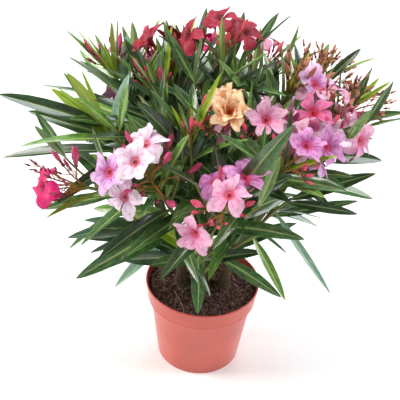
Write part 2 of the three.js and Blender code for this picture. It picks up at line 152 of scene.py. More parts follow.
def piece(name, skins, material, nodes=(), height=0.0, sharp=None):
    """One object from joined skins, set `height` up. It rides on the one body, takes the finish it is
    given and hides the CAD nodes that it replaces. Edges folded more than `sharp` degrees stay
    crisp."""
    starts = np.cumsum([0, *(len(s["verts"]) for s in skins[:-1])])
    verts = np.concatenate([s["verts"] for s in skins]) * MM + np.array([0, 0, height * MM])
    corners = np.concatenate([s["corners"] + start for s, start in zip(skins, starts)])
    sizes = np.concatenate([s["sizes"] for s in skins])
    mesh = bpy.data.meshes.new(name)
    mesh.vertices.add(len(verts))
    mesh.vertices.foreach_set("co", verts.astype(np.float32).ravel())
    mesh.loops.add(len(corners))
    mesh.loops.foreach_set("vertex_index", corners.astype(np.int32))
    mesh.polygons.add(len(sizes))
    mesh.polygons.foreach_set("loop_start", (np.cumsum(sizes) - sizes).astype(np.int32))
    mesh.update(calc_edges=True)
    if "uv" in skins[0]:
        uv = np.concatenate([s["uv"] for s in skins])
        mesh.uv_layers.new(name="OFBake").data.foreach_set("uv", uv.astype(np.float32).ravel())
    mesh.shade_smooth()
    if sharp is not None:
        mesh.set_sharp_from_angle(angle=np.radians(sharp))
    mesh.materials.append(material)
    made = placed(name, mesh)
    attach(made, "root")
    if nodes:
        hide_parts(*nodes)
    return made


def paint(red, green, blue):
    """A colour given as 0 to 255 steps on a screen, made linear."""
    c = np.array([red, green, blue]) / 255
    return (*np.where(c <= 0.04045, c / 12.92, ((c + 0.055) / 1.055) ** 2.4), 1.0)


class Finish:
    """A material being made. Its methods add nodes, each joined to the sockets, or set to the values, that
    it is given."""

    def __init__(self, name, **sockets):
        self.material = bpy.data.materials.new(name)
        self.material.use_nodes = True
        self.tree = self.material.node_tree
        self.shader = self.tree.nodes["Principled BSDF"]
        self.join(self.shader, {"metallic": 0.0, **sockets})

    def join(self, node, sockets):
        """Sets sockets, given by number or by name with underscores, to values or other sockets."""
        for key, value in sockets.items():
            name = key if isinstance(key, int) else key.replace("_", " ").title().replace("Ior", "IOR")
            socket = node.inputs[name]
            if isinstance(value, bpy.types.NodeSocket):
                self.tree.links.new(value, socket)
            else:
                socket.default_value = value

    def add(self, kind, sockets=(), **settings):
        """A new node with its settings, its sockets joined."""
        node = self.tree.nodes.new(kind)
        for key, value in settings.items():
            setattr(node, key, value)
        self.join(node, dict(sockets))
        return node

    def place(self):
        """The point in the piece's own axes, in metres."""
        return self.add("ShaderNodeTexCoord").outputs["Object"]

    def pattern(self):
        """The piece's own u and v, and the same point as a vector."""
        here = self.add("ShaderNodeUVMap", uv_map="OFBake").outputs["UV"]
        parts = self.add("ShaderNodeSeparateXYZ", {"Vector": here}).outputs
        return parts["X"], parts["Y"], here

    def math(self, operation, *values):
        """One operation on one or two values."""
        return self.add("ShaderNodeMath", dict(enumerate(values)), operation=operation).outputs[0]

    def plus(self, first, second):
        """first + second."""
        return self.math("ADD", first, second)

    def minus(self, first, second):
        """first - second."""
        return self.math("SUBTRACT", first, second)

    def times(self, first, second):
        """first times second."""
        return self.math("MULTIPLY", first, second)

    def stretch(self, vector, scales):
        """A point with each of its axes scaled."""
        return self.add("ShaderNodeMapping", {"Vector": vector, "Scale": scales}).outputs[0]

    def noise(self, vector, scale, detail=3.0, roughness=0.55):
        """Cloudy noise about one half, `scale` clouds to the unit."""
        sockets = {"Vector": vector, "Scale": scale, "Detail": detail, "Roughness": roughness}
        return self.add("ShaderNodeTexNoise", sockets).outputs["Fac"]

    def grain(self, vector, scales, detail=3.0, roughness=0.55, scale=1.0):
        """Noise with a scale of its own each way, which runs in lines or bands."""
        return self.noise(self.stretch(vector, scales), scale, detail, roughness)

    def cells(self, vector, scale):
        """The distance to the nearest of many scattered points, `scale` of them to the unit."""
        return self.add("ShaderNodeTexVoronoi", {"Vector": vector, "Scale": scale}).outputs["Distance"]

    def between(self, value, low, high, first=0.0, last=1.0):
        """`first` below `low`, `last` above `high`, and a straight line between them."""
        sockets = {0: value, 1: low, 2: high, 3: first, 4: last}
        return self.add("ShaderNodeMapRange", sockets).outputs[0]

    def by_noise(self, noise, first, last):
        """`first` in a noise's hollows, `last` on its tops, and a straight line between them."""
        return self.between(noise, 0.3, 0.7, first, last)

    def blend(self, share, first, second):
        """The first colour, and up to `share` the second. A colour is a socket or three screen steps."""
        first, second = (paint(*c) if isinstance(c, tuple) else c for c in (first, second))
        return self.add("ShaderNodeMix", {0: share, 6: first, 7: second}, data_type="RGBA").outputs[2]

    def bump(self, height, distance, strength=1.0):
        """Relief on the surface: `height` times `distance`, in metres."""
        sockets = {"Height": height, "Distance": distance, "Strength": strength}
        self.join(self.shader, {"Normal": self.add("ShaderNodeBump", sockets).outputs[0]})

    def coat(self, **sockets):
        """Sets the shader's own sockets and gives the material."""
        self.join(self.shader, sockets)
        return self.material


def terracotta_plastic():
    """Satin plastic: cloudy colour, a fine orange-peel grain, faint mould rings and dull scuffs."""
    made = Finish("terracotta_plastic")
    here = made.place()
    clouds = made.noise(here, 22.0, 4.0)
    rings = made.grain(here, (6, 6, 900), 2.0)
    scuffs = made.between(made.grain(here, (60, 60, 500), 5.0, 0.7, scale=1.6), 0.56, 0.72)
    base = made.blend(made.between(clouds, 0.35, 0.65), (200, 80, 64), (214, 92, 76))
    base = made.blend(made.by_noise(rings, 0.0, 0.18), base, (172, 60, 46))
    base = made.blend(made.times(scuffs, 0.16), base, (218, 126, 110))
    made.bump(made.plus(made.noise(here, 1400.0, 2.0), made.times(rings, 0.7)), 0.00012, 0.5)
    rough = made.between(scuffs, 0, 1, 0.36, 0.52)
    return made.coat(base_color=base, roughness=rough, coat_weight=0.3, coat_roughness=0.3)


collar_foot = pot_height - POT["collar_height"]
collar_radius = rim_radius - POT["collar_flare"]
shoulder_radius = collar_radius - POT["shoulder"]
ledge = collar_foot + POT["wall"]
foot_inner = POT["foot_radius"] - POT["foot_width"]
bead_radius, bead_top = collar_radius + POT["bead"], collar_foot + POT["bead_height"]
lip_foot = pot_height - POT["lip_height"]
pot_profile = [
    (0, POT["dish"]),
    (foot_inner - POT["foot_slope"], POT["dish"]),
    (foot_inner, 0),
    (POT["foot_radius"], 0),
    (shoulder_radius, collar_foot),
    (bead_radius, collar_foot),
    (bead_radius, bead_top),
    (collar_radius + POT["collar_flare"] * POT["collar_lean"], bead_top + POT["bevel"]),
    (rim_radius - POT["lip"], lip_foot - POT["bevel"]),
    (rim_radius, lip_foot),
    (rim_radius, pot_height),
    (rim_radius - POT["wall"], pot_height),
    (collar_radius - POT["wall"], ledge),
    (shoulder_radius - POT["wall"], ledge),
    (POT["foot_radius"] - POT["wall"], POT["floor"]),
    (0, POT["floor"]),
]
pot_skin = revolved(rounded(np.array(pot_profile), POT["rounding"]), POT["sides"])
piece("pot_shell", [pot_skin], terracotta_plastic(), ["pot"], sharp=40)

# ---- Potting soil -------------------------------------------------------------------------------
# Dark peat fills the pot to just under its rim, loose and a little heaped round the stems. Crumbs,
# chips of bark, straw-like fibres and pale grit lie on it, and one dry twig at the left.

SOIL = {
    "top_rings": 44,
    "sides": 120,
    "gap": 0.4,
    "lift": 0.3,
    "slack": 0.1,
    "middle": 0.02,
    "sunk": 1.2,
    "edge": 0.9,
    "edge_drop": 1.6,
    "heap": 3.2,
    "heap_width": 13.0,
    "waves": [(16, 0.54), (34, 0.42), (80, 0.27), (150, 0.132)],
    "bent": 2.1,
    "headings": 5,
    "seed": 5,
}
LITTER = {
    "crumbs": {"count": 2600, "size": (0.6, 2.5), "squash": 0.85},
    "chips": {"count": 900, "size": (0.5, 1.9), "squash": 0.6},
    "grit": {"count": 800, "size": (0.35, 1.0), "squash": 0.8},
}
LITTER_REACH = 0.965
LUMP = {
    "latitudes": [-48, 0, 48],
    "corners": 5,
    "swell": (0.75, 1.25),
    "lean": 0.5,
    "up": 0.25,
    "pole": 0.95,
}
FIBRES = {
    "count": 70,
    "length": (4, 14),
    "reach": 0.97,
    "radius": (0.12, 0.26),
    "girth": [0.6, 1, 1, 1, 0.8, 0.4],
    "bow": 0.3,
    "arch": 1.6,
    "foot_up": 0.2,
    "tip_up": 1.5,
}
DRY_TWIG = {
    "bearing": -62,
    "out": 38,
    "length": 40,
    "heading": 20,
    "bend": (3.0, 1.0, 0),
    "up": (1.2, 2.6, 1.4),
    "radius": 0.95,
    "taper": 0.35,
    "knots": 0.25,
}
# Each stem's bearing, how far out its foot and its fork are, and the height of its fork.
STEMS = {
    "left": (-88, 26, 40, 74),
    "front": (-8, 24, 37, 66),
    "right": (84, 27, 42, 78),
    "back": (176, 27, 40, 76),
    "centre": (20, 1, 3, 96),
}
soil_low, soil_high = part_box("soil")
soil_top = soil_high.z / MM
soil_radius = (soil_high.x - soil_low.x) / 2 / MM - SOIL["gap"]
loose = np.random.default_rng(11)


def part_way(share, low, high):
    """low + (high - low) share."""
    return low + (high - low) * share


def polar(bearing, out, up=0.0):
    """The point (out sin b, -out cos b, up) for the bearing b."""
    b = np.radians(bearing)
    return np.stack(np.broadcast_arrays(out * np.sin(b), -out * np.cos(b), up), -1).astype(float)


def soil_height(x, y):
    """Height of the peat over its level: sums of sines in turned directions, a low heap round each stem,
    and a drop beside the pot's wall."""
    shape = len(SOIL["waves"]), SOIL["headings"], 2
    turns = np.random.default_rng(SOIL["seed"]).uniform(0, 2 * np.pi, shape)
    height = np.zeros_like(x)
    for (waves, size), phases in zip(SOIL["waves"], turns):
        for heading, phase in phases:
            along = (x * np.cos(heading) + y * np.sin(heading)) / soil_radius
            bent = SOIL["bent"] * np.sin(3 * along * phase)
            height = height + size * np.sin(waves * along + phase + bent)
    for bearing, foot_out, *_ in STEMS.values():
        foot = polar(bearing, foot_out)
        apart = np.hypot(x - foot[0], y - foot[1])
        height = height + SOIL["heap"] * np.exp(-((apart / SOIL["heap_width"]) ** 2))
    edge = np.clip((np.hypot(x, y) / soil_radius - SOIL["edge"]) / (1 - SOIL["edge"]), 0, 1)
    return height - SOIL["edge_drop"] * edge**2 - SOIL["sunk"]


def soil_body():
    """The pot's filling: straight sides below, and on top the surface z = soil_height(x, y)."""
    a = np.linspace(0, 2 * np.pi, SOIL["sides"], endpoint=False)
    inside, lift, slack = POT["wall"] + SOIL["gap"], SOIL["lift"], SOIL["slack"]
    below = [
        (POT["foot_radius"] - inside, POT["floor"] + lift),
        (shoulder_radius - inside - slack, ledge + lift),
        (collar_radius - inside, ledge + lift + slack),
    ]
    below = np.array(below)
    radii = np.linspace(1, SOIL["middle"], SOIL["top_rings"])[:, None] * soil_radius
    r = np.concatenate([below[:, :1], radii])
    x, y = r * np.sin(a), -r * np.cos(a)
    z = soil_top + soil_height(x, y)
    z[: len(below)] = below[:, 1:]
    return skin(np.stack([x, y, z], -1)[None], np.array([[0.0, 0.0, POT["floor"] + lift]]))


def scattered(count):
    """Points spread evenly over the soil, a bearing and a distance out from the pot's axis each."""
    bearing = loose.uniform(0, 360, count)
    out = soil_radius * LITTER_REACH * np.sqrt(loose.uniform(0, 1, count))
    x, y, _ = polar(bearing, out).T
    return np.stack([x, y, soil_top + soil_height(x, y)], -1)


def lumps(count, size, squash):
    """Small stones: a ball of three rings of five corners, each corner pushed in or out by up to a
    quarter, squashed and tilted. Small ones are the commonest."""
    radius = part_way(loose.uniform(0, 1, count) ** 3, *size)
    latitude, corners = np.radians(LUMP["latitudes"])[None, :, None], LUMP["corners"]
    turn = np.arange(corners) * 2 * np.pi / corners + loose.uniform(0, 6.3, (count, 1, 1))
    swell = radius[:, None, None] * loose.uniform(*LUMP["swell"], (count, latitude.size, corners))
    level = np.cos(latitude)
    ball = np.stack([level * np.cos(turn), level * np.sin(turn), np.sin(latitude) + 0 * turn], -1)
    ball = ball * swell[..., None] * np.array([1, 1, squash])
    lean = loose.uniform(-LUMP["lean"], LUMP["lean"], (count, 2))[:, None, None]
    ball[..., 2] += ball[..., 0] * lean[..., 0] + ball[..., 1] * lean[..., 1]
    centre = scattered(count) + np.array([0, 0, LUMP["up"]]) * radius[:, None]
    pole = np.array([0, 0, LUMP["pole"] * squash]) * radius[:, None]
    return skin(ball + centre[:, None, None], centre - pole, centre + pole)


def bezier(curve):
    """The three points of each quadratic, an array (3, 3) or (count, 3, 3), ready to be set against t."""
    return (curve[..., None, i, :] for i in range(3))


def curve_point(curve, t):
    """The quadratic (1-t)^2 a + 2t(1-t) b + t^2 c, or one of each curve, at each t."""
    a, b, c = bezier(curve)
    t = np.asarray(t, float)[..., None]
    return (1 - t) ** 2 * a + 2 * t * (1 - t) * b + t**2 * c


def curve_tangent(curve, t):
    """The unit vector along each quadratic: (1-t)(b - a) + t(c - b), made a unit vector."""
    a, b, c = bezier(curve)
    t = np.clip(np.asarray(t, float)[..., None], 0, 1)
    return unit((1 - t) * (b - a) + t * (c - b))


def tube_rings(curve, t, radius, sides):
    """Rings round quadratics: centre + radius (n cos a + (tangent x n) sin a), where n is the normal of
    the curve's own plane. `radius` is (count, rows) or (count, rows, sides)."""
    a, b, c = curve[:, 0], curve[:, 1], curve[:, 2]
    normal = np.cross(b - a, c - a)
    spare = np.cross(c - a, np.array([0.31, 0.52, 0.17]))
    span = np.linalg.norm(c - a, axis=1, keepdims=True)
    straight = np.linalg.norm(normal, axis=1, keepdims=True) < 1e-3 * span**2
    normal = unit(np.where(straight, spare, normal))[:, None]
    tangent = curve_tangent(curve, t)
    second = unit(np.cross(tangent, normal + 0 * tangent))
    turn = np.arange(sides) * 2 * np.pi / sides
    around = normal[:, :, None] * np.cos(turn)[:, None] + second[:, :, None] * np.sin(turn)[:, None]
    radius = radius[..., None] if radius.ndim == 2 else radius
    return curve_point(curve, t)[:, :, None] + around * radius[..., None]


def fibres(count, length, reach, radius, girth, bow, arch, foot_up, tip_up):
    """Strands on the peat: three-sided tubes along short quadratics that bow to one side."""
    start = scattered(count)
    heading = loose.uniform(0, 360, count)
    long = loose.uniform(*length, count)
    end = start + polar(heading, long)
    inside = np.hypot(end[:, 0], end[:, 1]) < soil_radius * reach
    start, end, heading, long = start[inside], end[inside], heading[inside], long[inside]
    end[:, 2] = soil_top + soil_height(end[:, 0], end[:, 1]) + loose.uniform(0, tip_up, len(end))
    middle = (start + end) / 2 + polar(heading + 90, long * loose.uniform(-bow, bow, len(end)), arch)
    curve = np.stack([start + [0, 0, foot_up], middle, end], 1)
    thick = loose.uniform(*radius, len(end))[:, None] * np.array(girth)
    return skin(tube_rings(curve, np.linspace(0, 1, thick.shape[1]), thick, 3))


def dry_twig(bearing, out, length, heading, bend, up, radius, taper, knots):
    """A bent bit of dry stem: radius r (1 - taper t)(1 + knots sin^8 11t) along a quadratic."""
    start = polar(bearing, out)
    end = start + polar(heading, length)
    ends = np.array([start, (start + end) / 2 + bend, end])
    ends[:, 2] = soil_top + soil_height(ends[:, 0], ends[:, 1]) + up
    t = np.linspace(0, 1, 30)
    thick = radius * (1 - taper * t) * (1 + knots * np.sin(11 * t) ** 8)
    return skin(tube_rings(ends[None], t, thick[None], 8))


def peat(name, dark, pale, speck, speck_share):
    """Matt, crumbly peat: two browns mixed by a coarse and a fine noise, with flecks of a third."""
    made = Finish(name)
    here = made.place()
    coarse, fine = made.noise(here, 160.0, 5.0, 0.65), made.noise(here, 900.0, 3.0, 0.6)
    base = made.blend(made.between(made.times(coarse, fine), 0.14, 0.42), dark, pale)
    flecks = made.between(made.cells(here, 420.0), speck_share, speck_share + 0.05, 1.0, 0.0)
    base = made.blend(made.times(flecks, made.between(coarse, 0.5, 0.62)), base, speck)
    made.bump(made.plus(made.times(coarse, 1.6), fine), 0.0011, 0.9)
    return made.coat(base_color=base, roughness=made.by_noise(fine, 0.82, 1.0), specular_ior_level=0.2)


soil_peat = peat("peat", (40, 28, 28), (134, 98, 92), (214, 180, 172), 0.24)
chip_peat = peat("bark_chips", (74, 48, 44), (164, 120, 108), (196, 156, 142), 0.16)
straw = peat("straw", (128, 96, 80), (192, 156, 134), (214, 190, 170), 0.2)
grit = peat("grit", (164, 130, 124), (220, 196, 190), (245, 232, 228), 0.25)
piece("soil_peat", [soil_body(), lumps(**LITTER["crumbs"])], soil_peat, ["soil"])
piece("soil_chips", [lumps(**LITTER["chips"])], chip_peat, sharp=35)
piece("soil_fibres", [fibres(**FIBRES), dry_twig(**DRY_TWIG)], straw)
piece("soil_grit", [lumps(**LITTER["grit"])], grit, sharp=35)

# ---- Stems --------------------------------------------------------------------------------------
# Five woody stems rise from the peat and lean out to their forks. Their bark is grey-brown and
# splits lengthwise, with small raised pores, and each flares into the soil.

STEM = {
    "foot": 6.2,
    "tip": 4.6,
    "bend": 0.6,
    "gap": 0.3,
    "flare": 3.4,
    "flare_share": 0.22,
    "most_flare": 1.35,
}
STEM_SKIN = {"below": -0.09, "sides": 44, "rings": 96, "ridges": 0.42, "pores": 0.35, "seed": 40}
BARK = {
    "ridges": [(5, 0.8), (8, 0.6), (13, 0.35)],
    "pitch": (0.03, 0.09),
    "pores_per_mm": 0.5,
    "pore_length": 0.9,
    "pore_width": 0.28,
    "dome": [25, 50, 72],
}


def stem_curve(bearing, foot, fork, height):
    """A stem stands upright on the soil and leans out to its fork."""
    ends = polar(bearing, foot, STEM["gap"]), polar(bearing, fork, height)
    return np.array([ends[0], polar(bearing, foot, height * STEM["bend"]), ends[1]])


def stem_radius(t):
    """Straight taper from foot to tip, and a flare (1 - t / share)^2 at the root."""
    flared = np.clip(1 - t / STEM["flare_share"], 0, STEM["most_flare"]) ** 2
    return part_way(np.clip(t, 0, 1), STEM["foot"], STEM["tip"]) + STEM["flare"] * flared


def bark_relief(t, turn, length, seed, ridges, pores):
    """Bark over (t, angle): ridges ||sin(k a + bends)|| that wander lengthwise, less a sharp furrow
    between them, and scattered pores exp(-d^2)."""
    rng = np.random.default_rng(seed)
    distance = t[:, None] * length
    height = np.zeros((len(t), len(turn)))
    for waves, share in BARK["ridges"]:
        phase, pitch = rng.uniform(0, 6.3, 2), rng.uniform(*BARK["pitch"])
        wander = 1.2 * np.sin(distance * pitch + phase[0]) + 0.5 * np.sin(distance * pitch * 3.1 + phase[1])
        height += share * (0.5 - (1 - np.abs(np.sin(waves * turn / 2 + wander))) ** 3)
    spots = int(length * BARK["pores_per_mm"])
    at, round_at = (rng.uniform(0, high, spots)[:, None, None] for high in (length, 2 * np.pi))
    wide = (turn[None, None] - round_at + np.pi) % (2 * np.pi) - np.pi
    near = np.exp(-(((distance - at) / BARK["pore_length"]) ** 2) - (wide / BARK["pore_width"]) ** 2)
    return ridges * height + pores * near.max(0)


def limb_skin(curve, t, radius, sides, seed, ridges, pores):
    """A round limb along a quadratic with its bark's relief added to its radius, and a domed tip."""
    points = curve_point(curve, t)
    length = np.linalg.norm(np.diff(points, axis=0), axis=1).sum()
    turn = np.arange(sides) * 2 * np.pi / sides
    relief = bark_relief((t - t[0]) / (t[-1] - t[0]), turn, length, seed, ridges, pores)
    rings = tube_rings(curve[None], t, (radius[:, None] + relief)[None], sides)
    centre, out = points[-1], curve_tangent(curve, t[-1:])[0] * radius[-1]
    dome = np.radians(BARK["dome"])[:, None, None]
    cap = centre + (rings[0, -1] - centre) * np.cos(dome) + out * np.sin(dome)
    return skin(np.concatenate([rings, cap[None]], 1), tip=(centre + out)[None])


def bark(name, furrow, ridge, tint, lichen, lichen_share):
    """Bark colour: dark furrows to pale ridges by a lengthwise noise, tinted, with pale crusts."""
    made = Finish(name)
    here = made.place()
    grain = made.grain(here, (420, 420, 90), 5.0, 0.65)
    broad = made.noise(here, 45.0, 3.0)
    base = made.blend(made.between(grain, 0.34, 0.62), furrow, ridge)
    base = made.blend(made.between(broad, 0.42, 0.6, 0.0, 0.8), base, tint)
    pores = made.between(made.cells(made.stretch(here, (260, 260, 150)), 1.0), 0.12, 0.22, 1.0, 0.0)
    crust = made.times(pores, made.between(broad, 0.5, 0.55, 0.25, 1.0))
    base = made.blend(made.times(crust, lichen_share), base, lichen)
    made.bump(made.plus(grain, made.times(pores, 0.5)), 0.0004, 0.8)
    return made.coat(base_color=base, roughness=made.by_noise(grain, 0.9, 0.68))


stem_curves = {name: stem_curve(*stem) for name, stem in STEMS.items()}
stem_t = np.linspace(STEM_SKIN["below"], 1, STEM_SKIN["rings"])
stem_skins = []
for i, curve in enumerate(stem_curves.values()):
    sides, *relief = (STEM_SKIN[key] for key in ("sides", "ridges", "pores"))
    stem_skins.append(limb_skin(curve, stem_t, stem_radius(stem_t), sides, STEM_SKIN["seed"] + i, *relief))
stem_bark = bark("stem_bark", (40, 30, 24), (112, 92, 68), (84, 72, 44), (150, 138, 112), 0.6)
stem_nodes = [f"stem_{name}" for name in STEMS]
piece("stems", stem_skins, stem_bark, stem_nodes, height=soil_top)

# ---- Boughs -------------------------------------------------------------------------------------
# Each stem forks into boughs of last year's wood: smooth olive-brown bark with ringed leaf scars.
# A bough is grown into its stem, swollen where it leaves it, and tapers to its leafy shoot.

# Where each shoot starts: its stem and the share of it; where its tip is: bearing, out and up; how much
# it arches; and how far its first leaf is turned. The low ones grow straight from a stem, with no bough.
SHOOTS = {
    "left_flowers": ("left", 0.82, -70, 158, 175, 0.2, 30),
    "left_leaves": ("left", 1, -97, 126, 214, 0.1, 8),
    "left_upper": ("left", 0.66, -122, 140, 246, 0.02, 50),
    "left_low": ("left", 0.5, -82, 82, 114, 0.1, 0),
    "left_front_low": ("left", 0.72, -40, 88, 132, 0.08, 22),
    "left_front": ("front", 0.86, -42, 104, 214, 0.06, 60),
    "front_flowers": ("front", 1, 9, 118, 206, 0.06, 10),
    "front_low": ("front", 0.42, -6, 74, 104, 0.12, 0),
    "front_upper": ("front", 0.7, -26, 56, 240, 0, 35),
    "right_front_low": ("front", 0.56, 46, 86, 130, 0.08, 40),
    "right_front": ("right", 1, 52, 104, 232, 0.04, 25),
    "right_flowers": ("right", 0.84, 88, 122, 238, 0.02, 70),
    "right_low": ("right", 0.5, 80, 96, 150, 0.1, 15),
    "right_buds": ("right", 0.7, 112, 166, 226, 0.02, 45),
    "middle_right": ("right", 0.6, 46, 64, 244, -0.04, 80),
    "middle": ("centre", 1, 16, 32, 246, 0, 20),
    "middle_left": ("centre", 0.88, -108, 64, 252, 0, 5),
    "top": ("centre", 0.94, 176, 50, 298, 0, 48),
    "top_left": ("centre", 0.8, -138, 88, 262, 0, 30),
    "top_right": ("centre", 0.72, 118, 96, 260, 0, 66),
    "back_right_buds": ("back", 0.84, 132, 166, 236, 0.02, 10),
    "back_right": ("back", 1, 160, 138, 234, 0.05, 55),
    "back": ("back", 0.92, -172, 146, 216, 0.08, 20),
    "back_left": ("back", 0.74, -142, 152, 220, 0.06, 42),
    "back_left_low": ("back", 0.5, -146, 90, 130, 0.12, 12),
    "back_right_low": ("back", 0.56, 136, 98, 132, 0.12, 33),
}
BOUGH = {"foot": 3.8, "tip": 2.7, "share": 0.44, "offset": 3, "inside": -0.035, "sides": 26, "rings": 64}
BOUGH_SKIN = {"ridges": 0.11, "pores": 0.22, "seed": 60}
BOUGH_RELIEF = {"swell": 1.7, "swell_length": 6, "scar": 0.3, "scar_spacing": 15, "scar_width": 0.8}
shoots = {name: {"low": name.endswith("_low")} for name in SHOOTS}


def hand_out(table, *columns):
    """Gives each shoot its row of a table, by the columns' names, and what a last entry says of it."""
    for name, row in table.items():
        shoots[name] |= dict(zip(columns, row)) | dict(*row[len(columns) :])


def shoot_curve(shoot):
    """A shoot's whole line, from its stem to its tip: a quadratic, its bend moved outwards by `arch`."""
    tip = polar(shoot["bearing"], shoot["out"], shoot["up"])
    heart = curve_point(stem_curves[shoot["stem"]], [shoot["from"]])[0]
    start = heart + unit((tip - heart) * [1, 1, 0]) * BOUGH["offset"]
    bend = start + (tip - start) * (0.5 - shoot["arch"])
    bend[2] = start[2] + (tip[2] - start[2]) * (0.5 + shoot["arch"])
    return np.array([start, bend, tip])


def curve_length(curve):
    """The length of a quadratic, as two hundred straight steps."""
    return np.linalg.norm(np.diff(curve_point(curve, np.linspace(0, 1, 201)), axis=0), axis=1).sum()


def ringed(distance, spacing, size):
    """Raised rings along a limb, exp(-(d / width)^2) from the nearest of evenly spaced places."""
    off = (distance + spacing / 2) % spacing - spacing / 2
    return size * np.exp(-((off / BOUGH_RELIEF["scar_width"]) ** 2))


def bough_skin(curve, seed):
    """A tapering bough: its radius swells by an exponential where it leaves the stem, and rings stand out
    at its leaf scars."""
    t = np.linspace(BOUGH["inside"], BOUGH["share"] + 0.01, BOUGH["rings"])
    distance = t * curve_length(curve)
    swell = BOUGH_RELIEF["swell"] * np.exp(-np.clip(distance, 0, None) / BOUGH_RELIEF["swell_length"])
    scars = ringed(distance, BOUGH_RELIEF["scar_spacing"], BOUGH_RELIEF["scar"])
    radius = part_way(t / BOUGH["share"], BOUGH["foot"], BOUGH["tip"]) + swell + scars
    return limb_skin(curve, t, radius, BOUGH["sides"], seed, BOUGH_SKIN["ridges"], BOUGH_SKIN["pores"])


hand_out(SHOOTS, "stem", "from", "bearing", "out", "up", "arch", "turn")
for shoot in shoots.values():
    shoot["curve"] = shoot_curve(shoot)
bough_names = [name for name, shoot in shoots.items() if not shoot["low"]]
bough_skins = [
    bough_skin(shoots[name]["curve"], BOUGH_SKIN["seed"] + i) for i, name in enumerate(bough_names)
]
bough_bark = bark("bough_bark", (74, 66, 40), (134, 128, 84), (96, 104, 54), (178, 170, 132), 0.55)
bough_nodes = [f"bough_{name}" for name in bough_names]
piece("boughs", bough_skins, bough_bark, bough_nodes, height=soil_top)

# ---- Shoots and twigs ---------------------------------------------------------------------------
# This year's soft green shoots carry on from the boughs, and finer side twigs leave them. A shoot is
# slightly swollen at each whorl of leaves, and flushed reddish in patches.

SHOOT = {"foot": 2.6, "tip": 1.7, "sides": 12, "rings": 60, "knot": 0.35, "inside": -0.03}
SHOOT_SKIN = {"ridges": 0.05, "pores": 0.06, "seed": 90}
WHORL = {"spacing": 18, "turn": 60, "leaves": 3}
TWIG = {
    "places": [0.62, 0.74],
    "low_places": [0.55],
    "spread": 42,
    "length": 52,
    "bend": 0.55,
    "rise": 16,
    "foot": 1.7,
    "tip": 1.2,
    "first_turn": 90,
    "turn": 150,
    "jitter": {"turn": 50, "length": 0.3},
    "sides": 7,
    "rings": 12,
    "seed": 301,
}


def square_to(v, axis):
    """The part of v that is square to the unit vector axis, made a unit vector."""
    return unit(v - (v * axis).sum(-1, keepdims=True) * axis)


def turned(first, second, degrees):
    """first cos a + second sin a: the direction at the angle a from one unit vector to another."""
    a = np.radians(np.asarray(degrees, float))[..., None]
    return first * np.cos(a) + second * np.sin(a)


def around_shoot(axis, bearing):
    """Two unit vectors square to a shoot's axis; the first is its outer, lower side."""
    first = square_to(polar(bearing, 1.0, -1.0) + 0 * axis, axis)
    return first, np.cross(axis, first)


def draws(seed, count):
    """Evenly spread numbers from 0 to 1, the same on every run: a counter times an odd number, its bits
    mixed by shifts and products."""
    low = np.uint64(0xFFFFFFFF)
    state = (np.uint64(seed) + np.arange(1, count + 1, dtype=np.uint64) * np.uint64(0x6D2B79F5)) & low
    t = ((state ^ (state >> np.uint64(15))) * (state | np.uint64(1))) & low
    mixed = ((t ^ (t >> np.uint64(7))) * (t | np.uint64(61))) & low
    t = ((t + mixed) & low) ^ t
    return (t ^ (t >> np.uint64(14))) / 2.0**32


def twigs_of(shoot, seed):
    """Side twigs: each leaves its shoot at `spread` degrees and bends up by `rise`."""
    places = np.array(TWIG["low_places"] if shoot["low"] else TWIG["places"])
    chance = draws(seed, 2 * len(places)).reshape(-1, 2) - 0.5
    axis = curve_tangent(shoot["curve"], places)
    turn = shoot["turn"] + TWIG["first_turn"] + TWIG["turn"] * np.arange(len(places))
    turn = turn + TWIG["jitter"]["turn"] * chance[:, 0]
    direction = turned(axis, turned(*around_shoot(axis, shoot["bearing"]), turn), TWIG["spread"])
    root = curve_point(shoot["curve"], places)
    length = (TWIG["length"] * (1 + TWIG["jitter"]["length"] * chance[:, 1]))[:, None]
    tip = root + direction * length + [0, 0, TWIG["rise"]]
    return np.stack([root, root + direction * length * TWIG["bend"], tip], 1)


shoot_skins = []
for index, shoot in enumerate(shoots.values()):
    foot = SHOOT["inside"] if shoot["low"] else BOUGH["share"] - 0.01
    t = np.linspace(foot, 1, SHOOT["rings"])
    radius = part_way((t - foot) / (1 - foot), SHOOT["foot"], SHOOT["tip"])
    radius = radius + ringed((1 - t) * curve_length(shoot["curve"]), WHORL["spacing"], SHOOT["knot"])
    seed, *relief = (SHOOT_SKIN[key] for key in ("seed", "ridges", "pores"))
    shoot_skins.append(limb_skin(shoot["curve"], t, radius, SHOOT["sides"], seed + index, *relief))
    shoot["twigs"] = twigs_of(shoot, TWIG["seed"] + index)
all_twigs = np.concatenate([shoot["twigs"] for shoot in shoots.values()])
twig_t = np.linspace(0, 1, TWIG["rings"])
twig_radius = np.tile(part_way(twig_t, TWIG["foot"], TWIG["tip"]), (len(all_twigs), 1))
twig_skin = skin(tube_rings(all_twigs, twig_t, twig_radius, TWIG["sides"]))


def green_bark():
    """Soft young bark: green, flushed red-brown in patches, with fine lengthwise lines."""
    made = Finish("green_bark")
    here = made.place()
    lines = made.grain(here, (700, 700, 120))
    flush = made.between(made.noise(here, 26.0, 2.0), 0.45, 0.66)
    base = made.blend(made.by_noise(lines, 0.0, 1.0), (96, 116, 46), (138, 152, 74))
    base = made.blend(made.times(flush, 0.65), base, (122, 76, 48))
    made.bump(lines, 0.0002, 0.6)
    return made.coat(base_color=base, roughness=made.by_noise(lines, 0.5, 0.66))


piece("shoots", [*shoot_skins, twig_skin], green_bark(), height=soil_top)

# ---- Flower stalks and buds ---------------------------------------------------------------------
# A cluster ends each flowering shoot: reddish stalks set round it by the golden angle, branching
# into smaller ones. Each ends in a dark cup of five sepals that holds a bloom or a furled bud.

